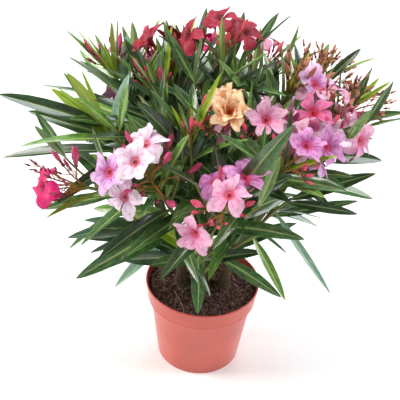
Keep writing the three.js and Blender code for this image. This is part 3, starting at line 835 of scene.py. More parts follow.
# How many flowers, buds, further flowers and sprays of small buds a shoot bears, and the colours of its
# blooms and buds. Stalks in `shut` are still in bud, and those in `cut` have dropped. `more_turn` turns
# the further flowers, and `spray_bud` is the colour of the small buds, which else are russet.
CLUSTERS = {
    "left_flowers": (2, 4, 0, 2, "magenta", "magenta", {"spray_bud": "wine", "shut": [1]}),
    "left_upper": (0, 2, 0, 0, "magenta", "magenta"),
    "left_front": (4, 2, 6, 0, "pale", "magenta", {"shut": [3, 6, 8, 11]}),
    "front_flowers": (3, 4, 2, 0, "lilac", "rose", {"more_turn": -80, "shut": [2]}),
    "front_upper": (0, 2, 0, 0, "rose", "rose"),
    "right_front": (4, 2, 5, 0, "lilac", "rose", {"cut": [1, 2, 7, 9, 10]}),
    "right_flowers": (4, 2, 5, 4, "blush", "rose"),
    "right_buds": (0, 5, 0, 3, "russet", "russet"),
    "middle_right": (3, 2, 4, 0, "lilac", "rose", {"cut": [1, 2, 5, 7]}),
    "middle": (2, 2, 0, 0, "apricot", "orange"),
    "middle_left": (0, 2, 0, 0, "rose", "rose"),
    "top": (4, 2, 0, 0, "red", "red", {"shut": [1]}),
    "top_left": (3, 3, 0, 0, "red", "red", {"shut": [1]}),
    "top_right": (2, 4, 2, 4, "pale", "russet", {"cut": [0, 6], "shut": [1]}),
    "back_right_buds": (0, 5, 0, 3, "russet", "russet"),
    "back_right": (3, 3, 3, 0, "blush", "rose", {"cut": [1, 6, 7]}),
    "back": (3, 3, 3, 0, "magenta", "magenta"),
    "back_left": (3, 2, 3, 0, "lilac", "rose", {"cut": [1, 6]}),
}
# A cluster's stalks: where they leave the shoot, how far each kind stands out, how long they are, and how
# they turn to the sky and the light. Open flowers are pushed off each other until they are `apart`.
RAY = {
    "offset": 1.3,
    "below": 1.3,
    "spacing": 2.2,
    "flower_length": 25,
    "bud_length": 28,
    "spray_length": 42,
    "spray_places": 7,
    "middle_spread": 12,
    "spreads": {"flower": [52], "bud": [22, 34, 46], "more": [64, 34, 80], "spray": [10, 26, 18, 36]},
    "jitter": {"spread": 12, "turn": 20, "length": 0.4},
    "flower_skyward": 0.15,
    "bud_skyward": 0.3,
    "lightward": (-0.08, -0.4, 0.1),
    "apart": 27,
    "push": 0.4,
    "seeds": {"more": 500, "spray": 650},
}
GOLDEN_ANGLE = 137.508
STALK = {"inside": 2.0, "bend": 0.5, "main": (1.15, 0.8), "side": (0.65, 0.5), "sides": 5, "rings": 5}
# Where smaller stalks leave one that ends in each kind, and the seed of their draws.
SIDE_PLACES = {
    "flower": ([0.5], 6),
    "shut": ([0.6], 4),
    "bud": ([0.42, 0.58, 0.76], 3),
    "spray": ([0.46, 0.66, 0.8, 0.92], 5),
}
SIDE_BUDS = {
    "spread": 34,
    "spread_jitter": 16,
    "length": 12,
    "jitter": 0.5,
    "skyward": 0.35,
    "calyx": 0.72,
    "seed": 700,
    "shoot_step": 100,
    "place_step": 40,
}
# The buds at the ends of stalks, those of flowers still shut, and smaller ones in sprays and on side stalks.
# `girth` is the share of the radius at each of the `places` from foot to tip.
BUD = {
    "length": {"bud": 25, "shut": 28, "spray": 13, "side": 14, "side_spray": 10},
    "radius": {"bud": 2.8, "shut": 4.1, "spray": 1.5, "side": 1.8, "side_spray": 1.25},
    "jitter": 0.4,
    "places": [0.06, 0.2, 0.38, 0.55, 0.7, 0.84, 0.95],
    "girth": [0.42, 0.5, 0.66, 1.0, 0.92, 0.6, 0.26],
    "lobe": 0.14,
    "twist": 70,
    "seeds": {"size": 900, "turn": 950},
}
CALYX = {
    "radius": 1.9,
    "cup": 2.4,
    "sepals": 5.4,
    "notch": 0.45,
    "girth": [0.45, 0.9, 1.0],
    "places": [0, 0.55, 1.0],
    "inner": (0.55, 0.9),
}
# The tips and the feet of the buds.
BUD_COLOURS = {
    "magenta": ((196, 16, 92), (120, 20, 60)),
    "rose": ((226, 52, 96), (170, 40, 44)),
    "red": ((196, 46, 52), (130, 36, 30)),
    "orange": ((226, 118, 62), (176, 84, 44)),
    "russet": ((204, 128, 96), (150, 122, 56)),
    "wine": ((132, 30, 58), (92, 30, 36)),
}


def spaced(points, heart, apart, rounds=20):
    """Points round a heart, pushed off each other until they lie `apart`, each as far out as it was."""
    reach = np.linalg.norm(points - heart, axis=1, keepdims=True)
    for _ in range(rounds):
        gap = points[:, None] - points
        distance = np.linalg.norm(gap, axis=2, keepdims=True) + np.eye(len(points))[..., None] * apart
        push = np.clip(apart - distance, 0, None) * gap / distance
        points = heart + unit(points + RAY["push"] * push.sum(1) - heart) * reach
    return points


def rays_of(shoot, seed):
    """The stalks of a cluster, from the shoot's tip down, each turned on from the last by the golden angle
    and standing out by a spread of its kind. The first end in open flowers and the next in buds, `more`
    flowers fill the cluster out below them, and a spray's are longer and upright."""
    flowers, buds, more, sprays = counts = [shoot[key] for key in ("flowers", "buds", "more", "sprays")]
    kind = np.repeat(["flower", "bud", "more", "spray"], counts)
    i = np.arange(len(kind))
    seeds = RAY["seeds"]
    chance = [draws(seed, 3 * (flowers + buds)), draws(seed + seeds["more"], 3 * more)]
    chance = np.concatenate([*chance, draws(seed + seeds["spray"], 3 * sprays)]).reshape(-1, 3) - 0.5
    is_open = np.isin(kind, ["flower", "more"]) & ~np.isin(i, shoot.get("shut", []))
    is_more, is_spray = kind == "more", kind == "spray"
    place = np.where(is_spray, (i - flowers - buds - more) % RAY["spray_places"], i)
    t = 1 - (RAY["below"] + RAY["spacing"] * place) / curve_length(shoot["curve"])
    axis = curve_tangent(shoot["curve"], t)
    spread = np.zeros(len(kind))
    for name, spreads in RAY["spreads"].items():
        spread = np.where(kind == name, np.array(spreads, float)[i % len(spreads)], spread)
    if flowers:
        spread[0] = RAY["middle_spread"]
    spread = spread + RAY["jitter"]["spread"] * chance[:, 0]
    turn = shoot["turn"] + i * GOLDEN_ANGLE + RAY["jitter"]["turn"] * chance[:, 1]
    turn = turn + np.where(is_more, shoot.get("more_turn", 0), 0)
    radial = turned(*around_shoot(axis, shoot["bearing"]), turn)
    length = np.where(is_open, RAY["flower_length"], RAY["bud_length"])
    length = np.where(is_spray, RAY["spray_length"], length) * (1 + RAY["jitter"]["length"] * chance[:, 2])
    length = length + RAY["spacing"] * np.where(is_more, i - flowers - buds, place)
    foot = curve_point(shoot["curve"], t) + radial * RAY["offset"]
    end = foot + turned(axis, radial, spread) * length[:, None]
    if is_open.any():
        end[is_open] = spaced(end[is_open], foot.mean(0), RAY["apart"])
    direction, length = unit(end - foot), np.linalg.norm(end - foot, axis=1)
    skyward = np.where(is_open, RAY["flower_skyward"], RAY["bud_skyward"])[:, None]
    facing = unit(direction + skyward * [0, 0, 1] + is_open[:, None] * np.array(RAY["lightward"]))
    shape = np.where(kind == "bud", "bud", np.where(is_open, "flower", "shut"))
    shape = np.where(is_spray | (shoot["bloom"] == "russet"), "spray", shape)
    rays = {"foot": foot, "axis": axis, "direction": direction, "length": length, "end": end}
    rays |= {"facing": facing, "open": is_open, "kind": shape}
    left = ~np.isin(i, shoot.get("cut", []))
    return {key: value[left] for key, value in rays.items()}


def square_ring(axis):
    """Two unit vectors square to an axis, to lay a ring out on."""
    up = np.where(np.abs(axis[..., 2:]) < 0.9, [0.0, 0.0, 1.0], [1.0, 0.0, 0.0])
    first = square_to(up, axis)
    return first, np.cross(axis, first)


def joined(groups):
    """Groups of arrays with the same names, end to end."""
    return {key: np.concatenate([group[key] for group in groups]) for key in groups[0]}


def side_buds(rays, index):
    """Smaller stalks that fork off a ray part of the way along, each with a small bud."""
    made = []
    shoot_seed = SIDE_BUDS["seed"] + SIDE_BUDS["shoot_step"] * index
    for kind, (places, own_seed) in SIDE_PLACES.items():
        chosen = np.flatnonzero(rays["kind"] == kind)
        direction = rays["direction"][chosen]
        for k, share in enumerate(places):
            seed = shoot_seed + SIDE_BUDS["place_step"] * k + own_seed
            chance = draws(seed, 3 * len(chosen)).reshape(-1, 3) - 0.5
            radial = turned(*square_ring(direction), GOLDEN_ANGLE * k + 360 * chance[:, 0])
            way = turned(direction, radial, SIDE_BUDS["spread"] + SIDE_BUDS["spread_jitter"] * chance[:, 1])
            foot = rays["foot"][chosen] + direction * (rays["length"][chosen] * share)[:, None]
            end = foot + way * (SIDE_BUDS["length"] * (1 + SIDE_BUDS["jitter"] * chance[:, 2]))[:, None]
            made.append({"foot": foot, "direction": way, "end": end, "kind": np.full(len(chosen), kind)})
    return joined(made)


def around_columns(sides):
    """The pattern's u at both sides of each column of faces round a shape."""
    k = np.arange(sides)
    return np.stack([k, k + 1], -1) / sides


def stalk_skin(foot, lead, end, thick, thin):
    """Thin stalks along quadratics that leave in the direction `lead` and bend to their ends."""
    reach = np.linalg.norm(end - foot, axis=1, keepdims=True)
    curve = np.stack([foot, foot + lead * reach * STALK["bend"], end], 1)
    t = np.linspace(0, 1, STALK["rings"])
    radius = np.tile(part_way(t, thick, thin), (len(foot), 1))
    rings = tube_rings(curve, t, radius, STALK["sides"])
    return skin(rings, columns=around_columns(STALK["sides"]), rows=np.array([0, *t, 1]))


def rings_round(centre, ways, turn, out, up):
    """Rings round an axis: centre + out (first cos a + second sin a) + up facing, where `ways` are the
    facing and two unit vectors square to it, and `out` and `up` are (rows, corners) for each shape."""
    facing, first, second = (way[:, None, None] for way in ways)
    return centre[:, None, None] + turned(first, second, turn) * out[..., None] + facing * up[..., None]


def calyx_skin(end, facing, size):
    """Sepals: a cup that ends in five points, its rim going (tall, low) by turns round the stalk's end."""
    k = np.arange(10)
    tall = np.where(k % 2, CALYX["notch"], 1.0)
    out, up = (np.array(CALYX[key])[:, None] * np.ones(10) for key in ("girth", "places"))
    out, up, size = out * CALYX["radius"], up * CALYX["cup"], size[:, None, None]
    narrower, lower = CALYX["inner"]
    out = np.concatenate([out, (CALYX["radius"] * (1.05 - 0.1 * tall))[None], out[2:] * narrower])
    up = np.concatenate([up, part_way(tall, CALYX["cup"], CALYX["sepals"])[None], up[2:] * lower])
    rings = rings_round(end, (facing, *square_ring(facing)), k * 36, size * out, size * up)
    rows = np.array([0.9, 0.92, 0.94, 0.96, 1, 0.97, 0.97])
    return skin(rings, columns=around_columns(10), rows=rows)


def bud_skin(end, facing, length, radius, turn):
    """Furled buds: r (1 +- lobe, by turns) over the girths of a spindle, each ring turned on by `twist` s,
    closing to a point."""
    s, girth = np.array(BUD["places"]), np.array(BUD["girth"])
    angle = np.arange(6) * 60 + s[:, None] * BUD["twist"] + turn[:, None, None]
    lobes = 1 + BUD["lobe"] * np.where(np.arange(6) % 2, -1, 1)
    out = girth[:, None] * lobes * radius[:, None, None]
    rings = rings_round(end, (facing, *square_ring(facing)), angle, out, s[:, None] * length[:, None, None])
    tip = end + facing * length[:, None]
    return skin(rings, tip=tip, columns=around_columns(6), rows=np.array([0, *s, 1]))


def stalk_finish():
    """Flower stalks: olive at the foot, flushing to red-brown, and dark wine-red sepals."""
    made = Finish("flower_stalks")
    _, v, here = made.pattern()
    lines = made.grain(here, (14, 5, 1))
    base = made.blend(made.between(v, 0.0, 0.75), (150, 136, 48), (182, 92, 44))
    base = made.blend(made.between(v, 0.9, 0.93), base, (122, 44, 42))
    base = made.blend(made.between(lines, 0.45, 0.7, 0.0, 0.4), base, (96, 48, 34))
    made.bump(lines, 0.0001, 0.5)
    return made.coat(base_color=base, roughness=made.by_noise(lines, 0.42, 0.58))


def bud_finish(name, tint, foot):
    """Furled petals: a colour that deepens to the foot, and a darker edge winding up the bud."""
    made = Finish(f"bud_{name}")
    u, v, here = made.pattern()
    wind = made.math("FRACT", made.plus(made.times(u, 3.0), made.times(v, 1.6)))
    edge = made.between(wind, 0.0, 0.22, 1.0, 0.0)
    veins = made.grain(here, (26, 3, 1))
    base = made.blend(made.between(v, 0.1, 0.45), foot, tint)
    base = made.blend(made.times(edge, 0.55), base, foot)
    base = made.blend(made.between(veins, 0.45, 0.75, 0.0, 0.35), base, (250, 214, 224))
    made.bump(made.plus(made.times(edge, -1.0), made.times(veins, 0.3)), 0.0003, 0.6)
    return made.coat(base_color=base, roughness=made.by_noise(veins, 0.34, 0.5))


hand_out(CLUSTERS, "flowers", "buds", "more", "sprays", "bloom", "bud")

# Each cluster's stalks with their cups, and its buds by colour.
stalks, buds = [], {}
for index, shoot in enumerate(shoots.values()):
    if "bloom" not in shoot:
        continue
    rays = shoot["rays"] = rays_of(shoot, index + 1)
    small = side_buds(rays, index)
    inner = rays["foot"] - rays["axis"] * STALK["inside"]
    lead = unit(rays["axis"] + rays["direction"])
    lean = unit(small["direction"] + [0, 0, SIDE_BUDS["skyward"]])
    stalks.append(stalk_skin(inner, lead, rays["end"], *STALK["main"]))
    stalks.append(stalk_skin(small["foot"], small["direction"], small["end"], *STALK["side"]))
    stalks.append(calyx_skin(rays["end"], rays["facing"], np.ones(len(rays["end"]))))
    stalks.append(calyx_skin(small["end"], lean, np.full(len(lean), SIDE_BUDS["calyx"])))
    closed = ~rays["open"]
    sorts = np.array([*rays["kind"][closed], *np.where(small["kind"] == "spray", "side_spray", "side")])
    size = 1 + BUD["jitter"] * (draws(BUD["seeds"]["size"] + index, len(sorts)) - 0.5)
    tall, wide = (size * [BUD[key][sort] for sort in sorts] for key in ("length", "radius"))
    ends = np.concatenate([rays["end"][closed], small["end"]])
    ways = np.concatenate([rays["facing"][closed], lean])
    turn = 360 * draws(BUD["seeds"]["turn"] + index, len(sorts))
    in_spray = np.char.endswith(sorts, "spray")
    for kind, chosen in ((shoot["bud"], ~in_spray), (shoot.get("spray_bud", "russet"), in_spray)):
        if chosen.any():
            made = bud_skin(*(values[chosen] for values in (ends, ways, tall, wide, turn)))
            buds.setdefault(kind, []).append(made)
piece("flower_stalks", stalks, stalk_finish(), height=soil_top)
for kind, skins in buds.items():
    piece(f"buds_{kind}", skins, bud_finish(kind, *BUD_COLOURS[kind]), height=soil_top, sharp=60)

# ---- Blooms -------------------------------------------------------------------------------------
# Open flowers: a funnel that flares into five broad petals, each a little askew so that it laps the
# next, with a fringed crown in the throat. The apricot ones are double, with ruffled inner petals.

# `shape` is a petal's width at each of its `rows`. `across` has the corners round its edge, as shares of
# half its width, and `beneath` marks those on its back.
PETAL = {
    "radius": 25.0,
    "throat": 3.6,
    "foot": 1.0,
    "tube": 15,
    "width": (18.0, 24.0),
    "skew": 0.15,
    "slant": 0.14,
    "tilt": 0.24,
    "cup": 0.12,
    "thick": 0.35,
    "rows": [0.0, 0.18, 0.38, 0.58, 0.76, 0.89, 0.97, 1.0],
    "shape": [0.3, 0.5, 0.78, 0.97, 1.0, 0.88, 0.6, 0.28],
    "across": [0, 0.55, 1, 0.55, 0, -0.55, -1, -0.55],
    "beneath": [0, 0, 0, 1, 1, 1, 0, 0],
    "shift": 0.11,
    "seed": 3000,
}
BLOOM_JITTER = {"radius": 0.16, "settle": 44, "settle_from": 0.35, "turn": 72, "lean": 34}
BLOOM_SEEDS = {"shape": 1200, "kind": 1300}
PETAL_JITTER = {"turn": 12, "settle": 30, "long": 0.2, "tilt": 0.3}
# Each round of petals: how many, turned by, size, the angles it rises and settles at, and its ruffle.
SINGLE = [(5, 0, 1.0, 52, -2, 0.06)]
DOUBLE = [*SINGLE, (5, 36, 0.8, 66, 30, 0.12), (4, 10, 0.55, 80, 55, 0.16)]
# The funnel's outer wall and its inner wall back down: (radius, height, the pattern's v).
FUNNEL = [
    (1.0, 0.3, 0.5),
    (1.7, 3.0, 0.5),
    (2.1, 7.0, 0.45),
    (3.2, 11.5, 0.14),
    (PETAL["throat"] + 0.7, PETAL["tube"] + 0.9, 0.1),
    (PETAL["throat"] + 0.1, PETAL["tube"] + 1.0, 0.06),
    (2.4, 11.5, 0.02),
    (1.2, 8.0, 0.0),
]
CROWN = {"radius": 2.5, "flare": 3.9, "height": 2.4, "teeth": 12, "notch": 0.55, "slope": 3.4}
# The kinds that a cluster of each name is dealt, with the upper limit of each kind's share.
BLOOM_MIX = {
    "lilac": [("lilac", 0.5), ("mauve", 0.86), ("blush", 1.0)],
    "pale": [("pale", 0.55), ("lilac", 0.82), ("blush", 1.0)],
    "blush": [("blush", 0.55), ("rose", 0.72), ("pale", 1.0)],
    "magenta": [("magenta", 1.0)],
    "red": [("red", 1.0)],
    "apricot": [("apricot", 1.0)],
}
# Petal, rim (partly its own paler colour, partly a painted highlight, and the painted light on one half of
# each petal), throat and vein.
BLOOM_COLOURS = {
    "lilac": ((198, 116, 188), (238, 204, 236), (222, 62, 84), (170, 78, 154)),
    "mauve": ((184, 82, 156), (222, 160, 208), (212, 44, 72), (150, 52, 124)),
    "pale": ((242, 212, 230), (250, 240, 246), (226, 92, 112), (204, 128, 178)),
    "blush": ((222, 138, 178), (232, 188, 208), (222, 66, 88), (196, 90, 140)),
    "rose": ((200, 70, 126), (216, 120, 162), (210, 40, 56), (160, 42, 94)),
    "magenta": ((218, 8, 106), (230, 30, 120), (170, 14, 60), (168, 8, 76)),
    "red": ((158, 16, 42), (186, 46, 74), (112, 10, 22), (118, 10, 30)),
    "apricot": ((232, 158, 100), (246, 214, 172), (222, 84, 34), (208, 116, 62)),
}


def dealt(deal, mix):
    """The kind that each number from 0 to 1 falls to."""
    kinds, limits = zip(*mix)
    return np.array(kinds, object)[np.searchsorted(limits, deal)]


def both_sides(above, below):
    """The pattern's u round a blade from its upper middle: the upper face takes 0 to half way and the
    underside the rest. `above` corners lead from the middle to a margin, and `below` across the back."""
    steps = np.linspace(0, 0.25, above)
    edges = 0.25 + steps, np.linspace(0.5, 1, below), steps
    return np.concatenate([np.stack([edge[:-1], edge[1:]], -1) for edge in edges]) * 0.98 + 0.01


def petal_skin(blooms, petals, first_turn, size, rise, settle, ruffle):
    """Petals over (s, a), s from the throat out and a across: out = throat + L (s cos e + slant a s^3) and
    up = tube + L s sin e, where the angle e falls from `rise` to `settle`; across = w(s) a + skew L
    s^2; and the face is lifted by tilt, a cup a^2 and a ruffle sin(5a + 7s + a shift of its own)."""
    count = len(blooms["centre"])
    own = draws(PETAL["seed"] + petals, 4 * count * petals).reshape(4, count, petals) - 0.5
    s, a = np.array(PETAL["rows"])[:, None], np.array(PETAL["across"])
    width = np.array(PETAL["shape"])[:, None] * blooms["width"][:, None, None, None] / 2
    facing, first, second = (blooms[key][:, None] for key in ("facing", "first", "second"))
    turn = blooms["turn"][:, None] + first_turn + np.arange(petals) * 360 / petals
    turn = turn + PETAL_JITTER["turn"] * own[0]
    settle = settle + blooms["settle"][:, None] + PETAL_JITTER["settle"] * own[1]
    tilt = (PETAL["tilt"] + PETAL_JITTER["tilt"] * own[3])[:, :, None, None]
    radial = turned(first, second, turn)[:, :, None, None]
    facing = facing[:, :, None, None]
    across = np.cross(radial, facing + 0 * radial)
    long = (size * blooms["radius"] - PETAL["throat"])[:, None, None, None]
    long = long * (1 + PETAL_JITTER["long"] * own[2])[:, :, None, None]
    e = np.radians(rise + (settle - rise)[:, :, None, None] * s)
    out = PETAL["throat"] + long * (s * np.cos(e) + PETAL["slant"] * a * s**3)
    scale = size * blooms["radius"][:, None, None, None] / PETAL["radius"]
    side = width * a * scale + PETAL["skew"] * long * s**2
    waves = np.sin(5 * a + 7 * s + turn[:, :, None, None] * PETAL["shift"])
    up = PETAL["tube"] + long * s * np.sin(e) + tilt * side * s + PETAL["cup"] * width * a**2 * scale
    up = up + ruffle * long * s * waves - PETAL["thick"] * np.array(PETAL["beneath"])
    centre = blooms["centre"][:, None, None, None]
    rings = centre + radial * out[..., None] + across * side[..., None] + facing * up[..., None]
    rows = np.array([0.13, *(0.13 + 0.87 * s[:, 0]), 1])
    return skin(rings.reshape(count * petals, len(s), len(a), 3), columns=both_sides(3, 5), rows=rows)


def flower_rings(blooms, corners, out, up):
    """Rings with evenly spaced corners round the axis of each bloom."""
    ways = [blooms[key] for key in ("facing", "first", "second")]
    return rings_round(blooms["centre"], ways, np.arange(corners) * 360 / corners, out, up)


def funnel_skin(blooms):
    """The tube and throat of each bloom: an outer wall that widens up to the petals, and an inner wall
    back down, both carried round its axis."""
    out, up, v = np.array(FUNNEL).T
    rings = flower_rings(blooms, 10, out[:, None], up[:, None])
    return skin(rings, columns=np.tile([[0.7, 0.8]], (10, 1)), rows=np.array([0.5, *v, 0.0]))


def crown_skin(blooms):
    """The fringed crown: a short flaring cone whose rim goes up and down by turns, then folds back."""
    teeth = CROWN["teeth"] * 2
    tall = np.where(np.arange(teeth) % 2, CROWN["notch"], 1.0) * CROWN["height"]
    rim = CROWN["radius"] + (CROWN["flare"] - CROWN["radius"]) * tall / CROWN["slope"]
    out = np.stack([np.full(teeth, CROWN["radius"]), rim])
    out = np.concatenate([out, out[::-1] * 0.9])
    up = PETAL["tube"] - 1 + np.stack([0 * tall, tall, tall - 0.1, 0 * tall])
    rows = np.array([0.1, 0.1, 0.3, 0.26, 0.1, 0.1])
    return skin(flower_rings(blooms, teeth, out, up), columns=np.tile([[0.2, 0.3]], (teeth, 1)), rows=rows)


def petal_finish(name, petal, rim, throat, vein):
    """Petals: a deep throat that runs out in streaks, one half painted paler than the other as painted
    light, fine lengthwise veins, a paler back, and an outer part that pales to the rim, partly in its own
    colour and partly as a painted highlight."""
    made = Finish(f"petal_{name}")
    u, v, here = made.pattern()
    veins = made.grain(here, (70, 2.0, 1))
    clouds = made.grain(here, (8, 3.0, 1))
    reach = made.plus(v, made.times(made.minus(clouds, 0.5), 0.9))
    # The petal pales from the throat out to the rim colour: partly its own colour, partly a painted
    # highlight.
    base = made.blend(made.between(reach, 0.3, 0.95), petal, rim)
    # One half of each petal is painted paler than the other: painted light on one side, painted shade on the
    # other.
    half = made.between(made.math("FRACT", made.times(u, 2.0)), 0.2, 0.8)
    base = made.blend(made.times(half, 0.34), base, rim)
    base = made.blend(made.between(clouds, 0.36, 0.5, 0.5, 0.0), base, vein)
    streaks = made.times(made.between(veins, 0.44, 0.6), made.between(v, 0.2, 0.9, 0.9, 0.1))
    base = made.blend(streaks, base, vein)
    middle = made.plus(v, made.times(veins, 0.42))
    base = made.blend(made.between(middle, 0.36, 0.52, 1.0, 0.0), base, throat)
    base = made.blend(made.between(u, 0.49, 0.51, 0.0, 0.3), base, rim)
    made.bump(made.plus(veins, made.times(clouds, 1.2)), 0.0005, 0.6)
    return made.coat(base_color=base, roughness=made.by_noise(veins, 0.38, 0.54), specular_ior_level=0.35)


# Where each open flower sits, how it faces, how wide it is and how far it opens, by kind.
bloom_spots = {}
for index, shoot in enumerate(shoots.values()):
    if "rays" not in shoot or not shoot["rays"]["open"].any():
        continue
    rays = {key: value[shoot["rays"]["open"]] for key, value in shoot["rays"].items()}
    count = len(rays["end"])
    chance = draws(BLOOM_SEEDS["shape"] + index, 6 * count).reshape(-1, 6)
    sideways = turned(*square_ring(rays["facing"]), 360 * chance[:, 3])
    facing = turned(rays["facing"], sideways, BLOOM_JITTER["lean"] * chance[:, 4])
    first, second = square_ring(facing)
    spot = {
        "centre": rays["end"] + rays["facing"] * PETAL["foot"],
        "facing": facing,
        "first": first,
        "second": second,
        "turn": BLOOM_JITTER["turn"] * chance[:, 0],
        "radius": PETAL["radius"] * (1 - BLOOM_JITTER["radius"] * chance[:, 1]),
        "settle": BLOOM_JITTER["settle"] * (chance[:, 2] - BLOOM_JITTER["settle_from"]),
        "width": part_way(chance[:, 5], *PETAL["width"]),
    }
    kinds = dealt(draws(BLOOM_SEEDS["kind"] + index, count), BLOOM_MIX[shoot["bloom"]])
    for kind in dict.fromkeys(kinds):
        bloom_spots.setdefault(kind, []).append({key: value[kinds == kind] for key, value in spot.items()})
bloom_centres = []
for kind, spots in bloom_spots.items():
    blooms = joined(spots)
    bloom_centres.append(blooms["centre"] + blooms["facing"] * PETAL["tube"])
    skins = [petal_skin(blooms, *layer) for layer in (DOUBLE if kind == "apricot" else SINGLE)]
    skins += [funnel_skin(blooms), crown_skin(blooms)]
    finish = petal_finish(kind, *BLOOM_COLOURS[kind])
    piece(f"blooms_{kind}", skins, finish, height=soil_top, sharp=75)
bloom_centres = np.concatenate(bloom_centres)

# ---- Leaves -------------------------------------------------------------------------------------
# Lance-shaped, leathery leaves in whorls of three, each whorl turned half a step from the last. They
# fold a little along a pale midrib. Young ones stand up and are yellow-green; old ones are dark and hang.

# Of the pairs, `droop` goes from young leaves to old, `thick` from foot to tip, and the others from the
# least to the most.
LEAF = {
    "width_share": (0.165, 0.205),
    "most_width": 21.0,
    "young_width": 0.66,
    "full_width_age": 1 / 3.5,
    "foot_power": 0.72,
    "tip_power": 0.8,
    "thick": (1.2, 0.3),
    "thinning": 2.2,
    "stalk": 1.05,
    "stalk_share": 0.1,
    "root_offset": 1.2,
    "young_spread": 30,
    "spread_power": 0.8,
    "young_length": 0.74,
    "full_length_age": 0.55,
    "droop": (0.02, 0.14),
    "standout_droop": 0.04,
    "standout_age": 0.6,
    "after_bough": 0.05,
    "after_stem": 0.3,
    "bare_under_flowers": 0.2,
    "bare_tip": 0.05,
    "lightward": (-0.15, -0.35, 0.7),
    "frontward": (0.0, -0.8, 0.6),
    "most_frontward": 0.78,
    "jitter": {"turn": 22, "spread": 16, "length": 0.2, "droop": 0.08, "twist": 40},
    "turns_tried": [0, 10, -10, 20, -20, 32, -32],
    "lengths_tried": [1, 0.85, 0.7],
    "rows": [0.0, 0.05, 0.14, 0.27, 0.42, 0.58, 0.74, 0.88, 0.96],
    "fold": (9, 27),
    "sway": 0.09,
    "curl": 26,
    "inner": 0.55,
    "crown": 0.07,
    "wave": 0.035,
    "waves": 9,
    "seed": 2600,
}
# The leaves round a growing tip: `sunk` (below the tip) and `share` (of the longest leaf) are for the inner
# whorl and the outer one, and the pairs after them are the least and the most.
HEART_LEAVES = {
    "whorls": 2,
    "sunk": (2, 5),
    "share": (0.42, 0.567),
    "size": (0.85, 1.15),
    "turn": (30, 50),
    "spread": (9.6, 22.4),
    "droop": 0.02,
    "twist": 30,
    "seed": 1500,
}
# The leaves of a side twig: the first of each pair is for those at its tip.
TWIG_LEAVES = {
    "whorls": 2,
    "place": (1, 0.3),
    "spread": (22, 66),
    "length": (64.4, 92),
    "droop": (0.02, 0.1),
    "age": (0.25, 0.85),
    "jitter": {"turn": 24, "spread": 14, "length": 0.24, "droop": 0.06, "twist": 40},
    "seed": 1800,
    "shoot_step": 10,
}
# How far leaves stay off each thing and reach past their mass's box; `hang` is the slope of the line over
# the pot's front that they stay above.
CLEARANCE = {
    "shoot": 6.4,
    "stem": 3.4,
    "twig": 1.9,
    "bloom": 19.0,
    "pot": 3.0,
    "hang": 1.35,
    "past_box": 6.0,
}
CLEAR_AT = [0.25, 0.36, 0.48, 0.6, 0.72, 0.84, 0.93, 1.0]
# Each shoot's longest leaf, the share of its leaves that stay on, how far the oldest stand out, and the
# tint that most have; how much of its tip is bare, and single leaves that have fallen.
FOLIAGE = {
    "left_flowers": (104, 0.5, 78, "mid", {"bare": 0.34, "fallen": [8]}),
    "left_leaves": (152, 0.6, 72, "deep"),
    "left_upper": (120, 0.7, 78, "fresh"),
    "left_low": (98, 0.36, 66, "grey"),
    "left_front_low": (104, 0.42, 66, "deep"),
    "left_front": (108, 0.9, 78, "mid"),
    "front_flowers": (104, 0.55, 78, "mid", {"fallen": [13, 20]}),
    "front_low": (92, 0.5, 62, "mid"),
    "front_upper": (118, 0.9, 78, "mid"),
    "right_front_low": (100, 0.14, 64, "grey"),
    "right_front": (106, 0.9, 78, "mid", {"fallen": [8, 10, 13]}),
    "right_flowers": (104, 0.6, 78, "mid", {"fallen": [12, 24]}),
    "right_low": (108, 0.12, 64, "deep", {"fallen": [8, 15]}),
    "right_buds": (108, 0.3, 68, "mid", {"bare": 0.2, "fallen": [28]}),
    "middle_right": (110, 0.7, 78, "mid", {"fallen": [10]}),
    "middle": (108, 0.9, 78, "mid"),
    "middle_left": (122, 0.9, 78, "deep"),
    "top": (110, 0.9, 78, "mid"),
    "top_left": (114, 0.9, 78, "mid"),
    "top_right": (110, 0.7, 78, "mid"),
    "back_right_buds": (108, 0.3, 78, "deep"),
    "back_right": (112, 0.9, 78, "mid"),
    "back": (114, 0.9, 78, "mid"),
    "back_left": (114, 0.9, 78, "mid"),
    "back_left_low": (104, 0.9, 68, "deep"),
    "back_right_low": (104, 0.9, 68, "grey"),
}
# Large leaves that stand out of the crown: the share of its shoot where each grows, its bearing, its rise
# above the level, its length, width and tint.
STANDOUT = {
    "left_leaves": [
        (0.98, -90, 19, 128, 21, "deep"),
        (0.86, -94, 16, 106, 19, "mid"),
        (0.84, -106, 36, 98, 18, "young"),
        (0.92, 70, 76, 88, 16, "pale"),
    ],
    "left_upper": [(0.8, -165, 62, 92, 19, "pale")],
    "middle_left": [(0.6, -114, 40, 96, 19, "deep")],
    "front_upper": [(0.9, -84, 50, 96, 21, "deep"), (0.86, 120, 66, 84, 13, "grey")],
    "front_flowers": [(0.9, 94, 64, 136, 23, "mid"), (0.84, 104, 36, 88, 21, "deep")],
    "left_front_low": [(0.84, -64, -20, 108, 20, "mid"), (0.8, -88, 4, 76, 21, "deep")],
    "left_low": [
        (0.8, -74, -10, 96, 16, "grey"),
        (0.56, -72, -14, 84, 14, "grey"),
        (0.34, -54, -28, 82, 15, "pale"),
    ],
    "front_low": [
        (0.96, 8, -52, 64, 17, "mid"),
        (0.98, -110, 26, 84, 20, "young"),
        (0.84, -96, -12, 92, 19, "deep"),
    ],
    "right_front_low": [(0.34, 70, -16, 84, 16, "mid"), (0.88, 42, -38, 78, 13, "fresh")],
    "right_low": [
        (0.76, 46, -34, 112, 11, "pale"),
        (0.68, 94, 14, 106, 13, "mid"),
        (0.94, 84, 2, 82, 13, "deep"),
        (0.99, 98, 24, 104, 17, "deep"),
    ],
    "right_buds": [(0.9, 92, 20, 84, 14, "mid"), (0.98, 128, 50, 56, 12, "mid")],
}
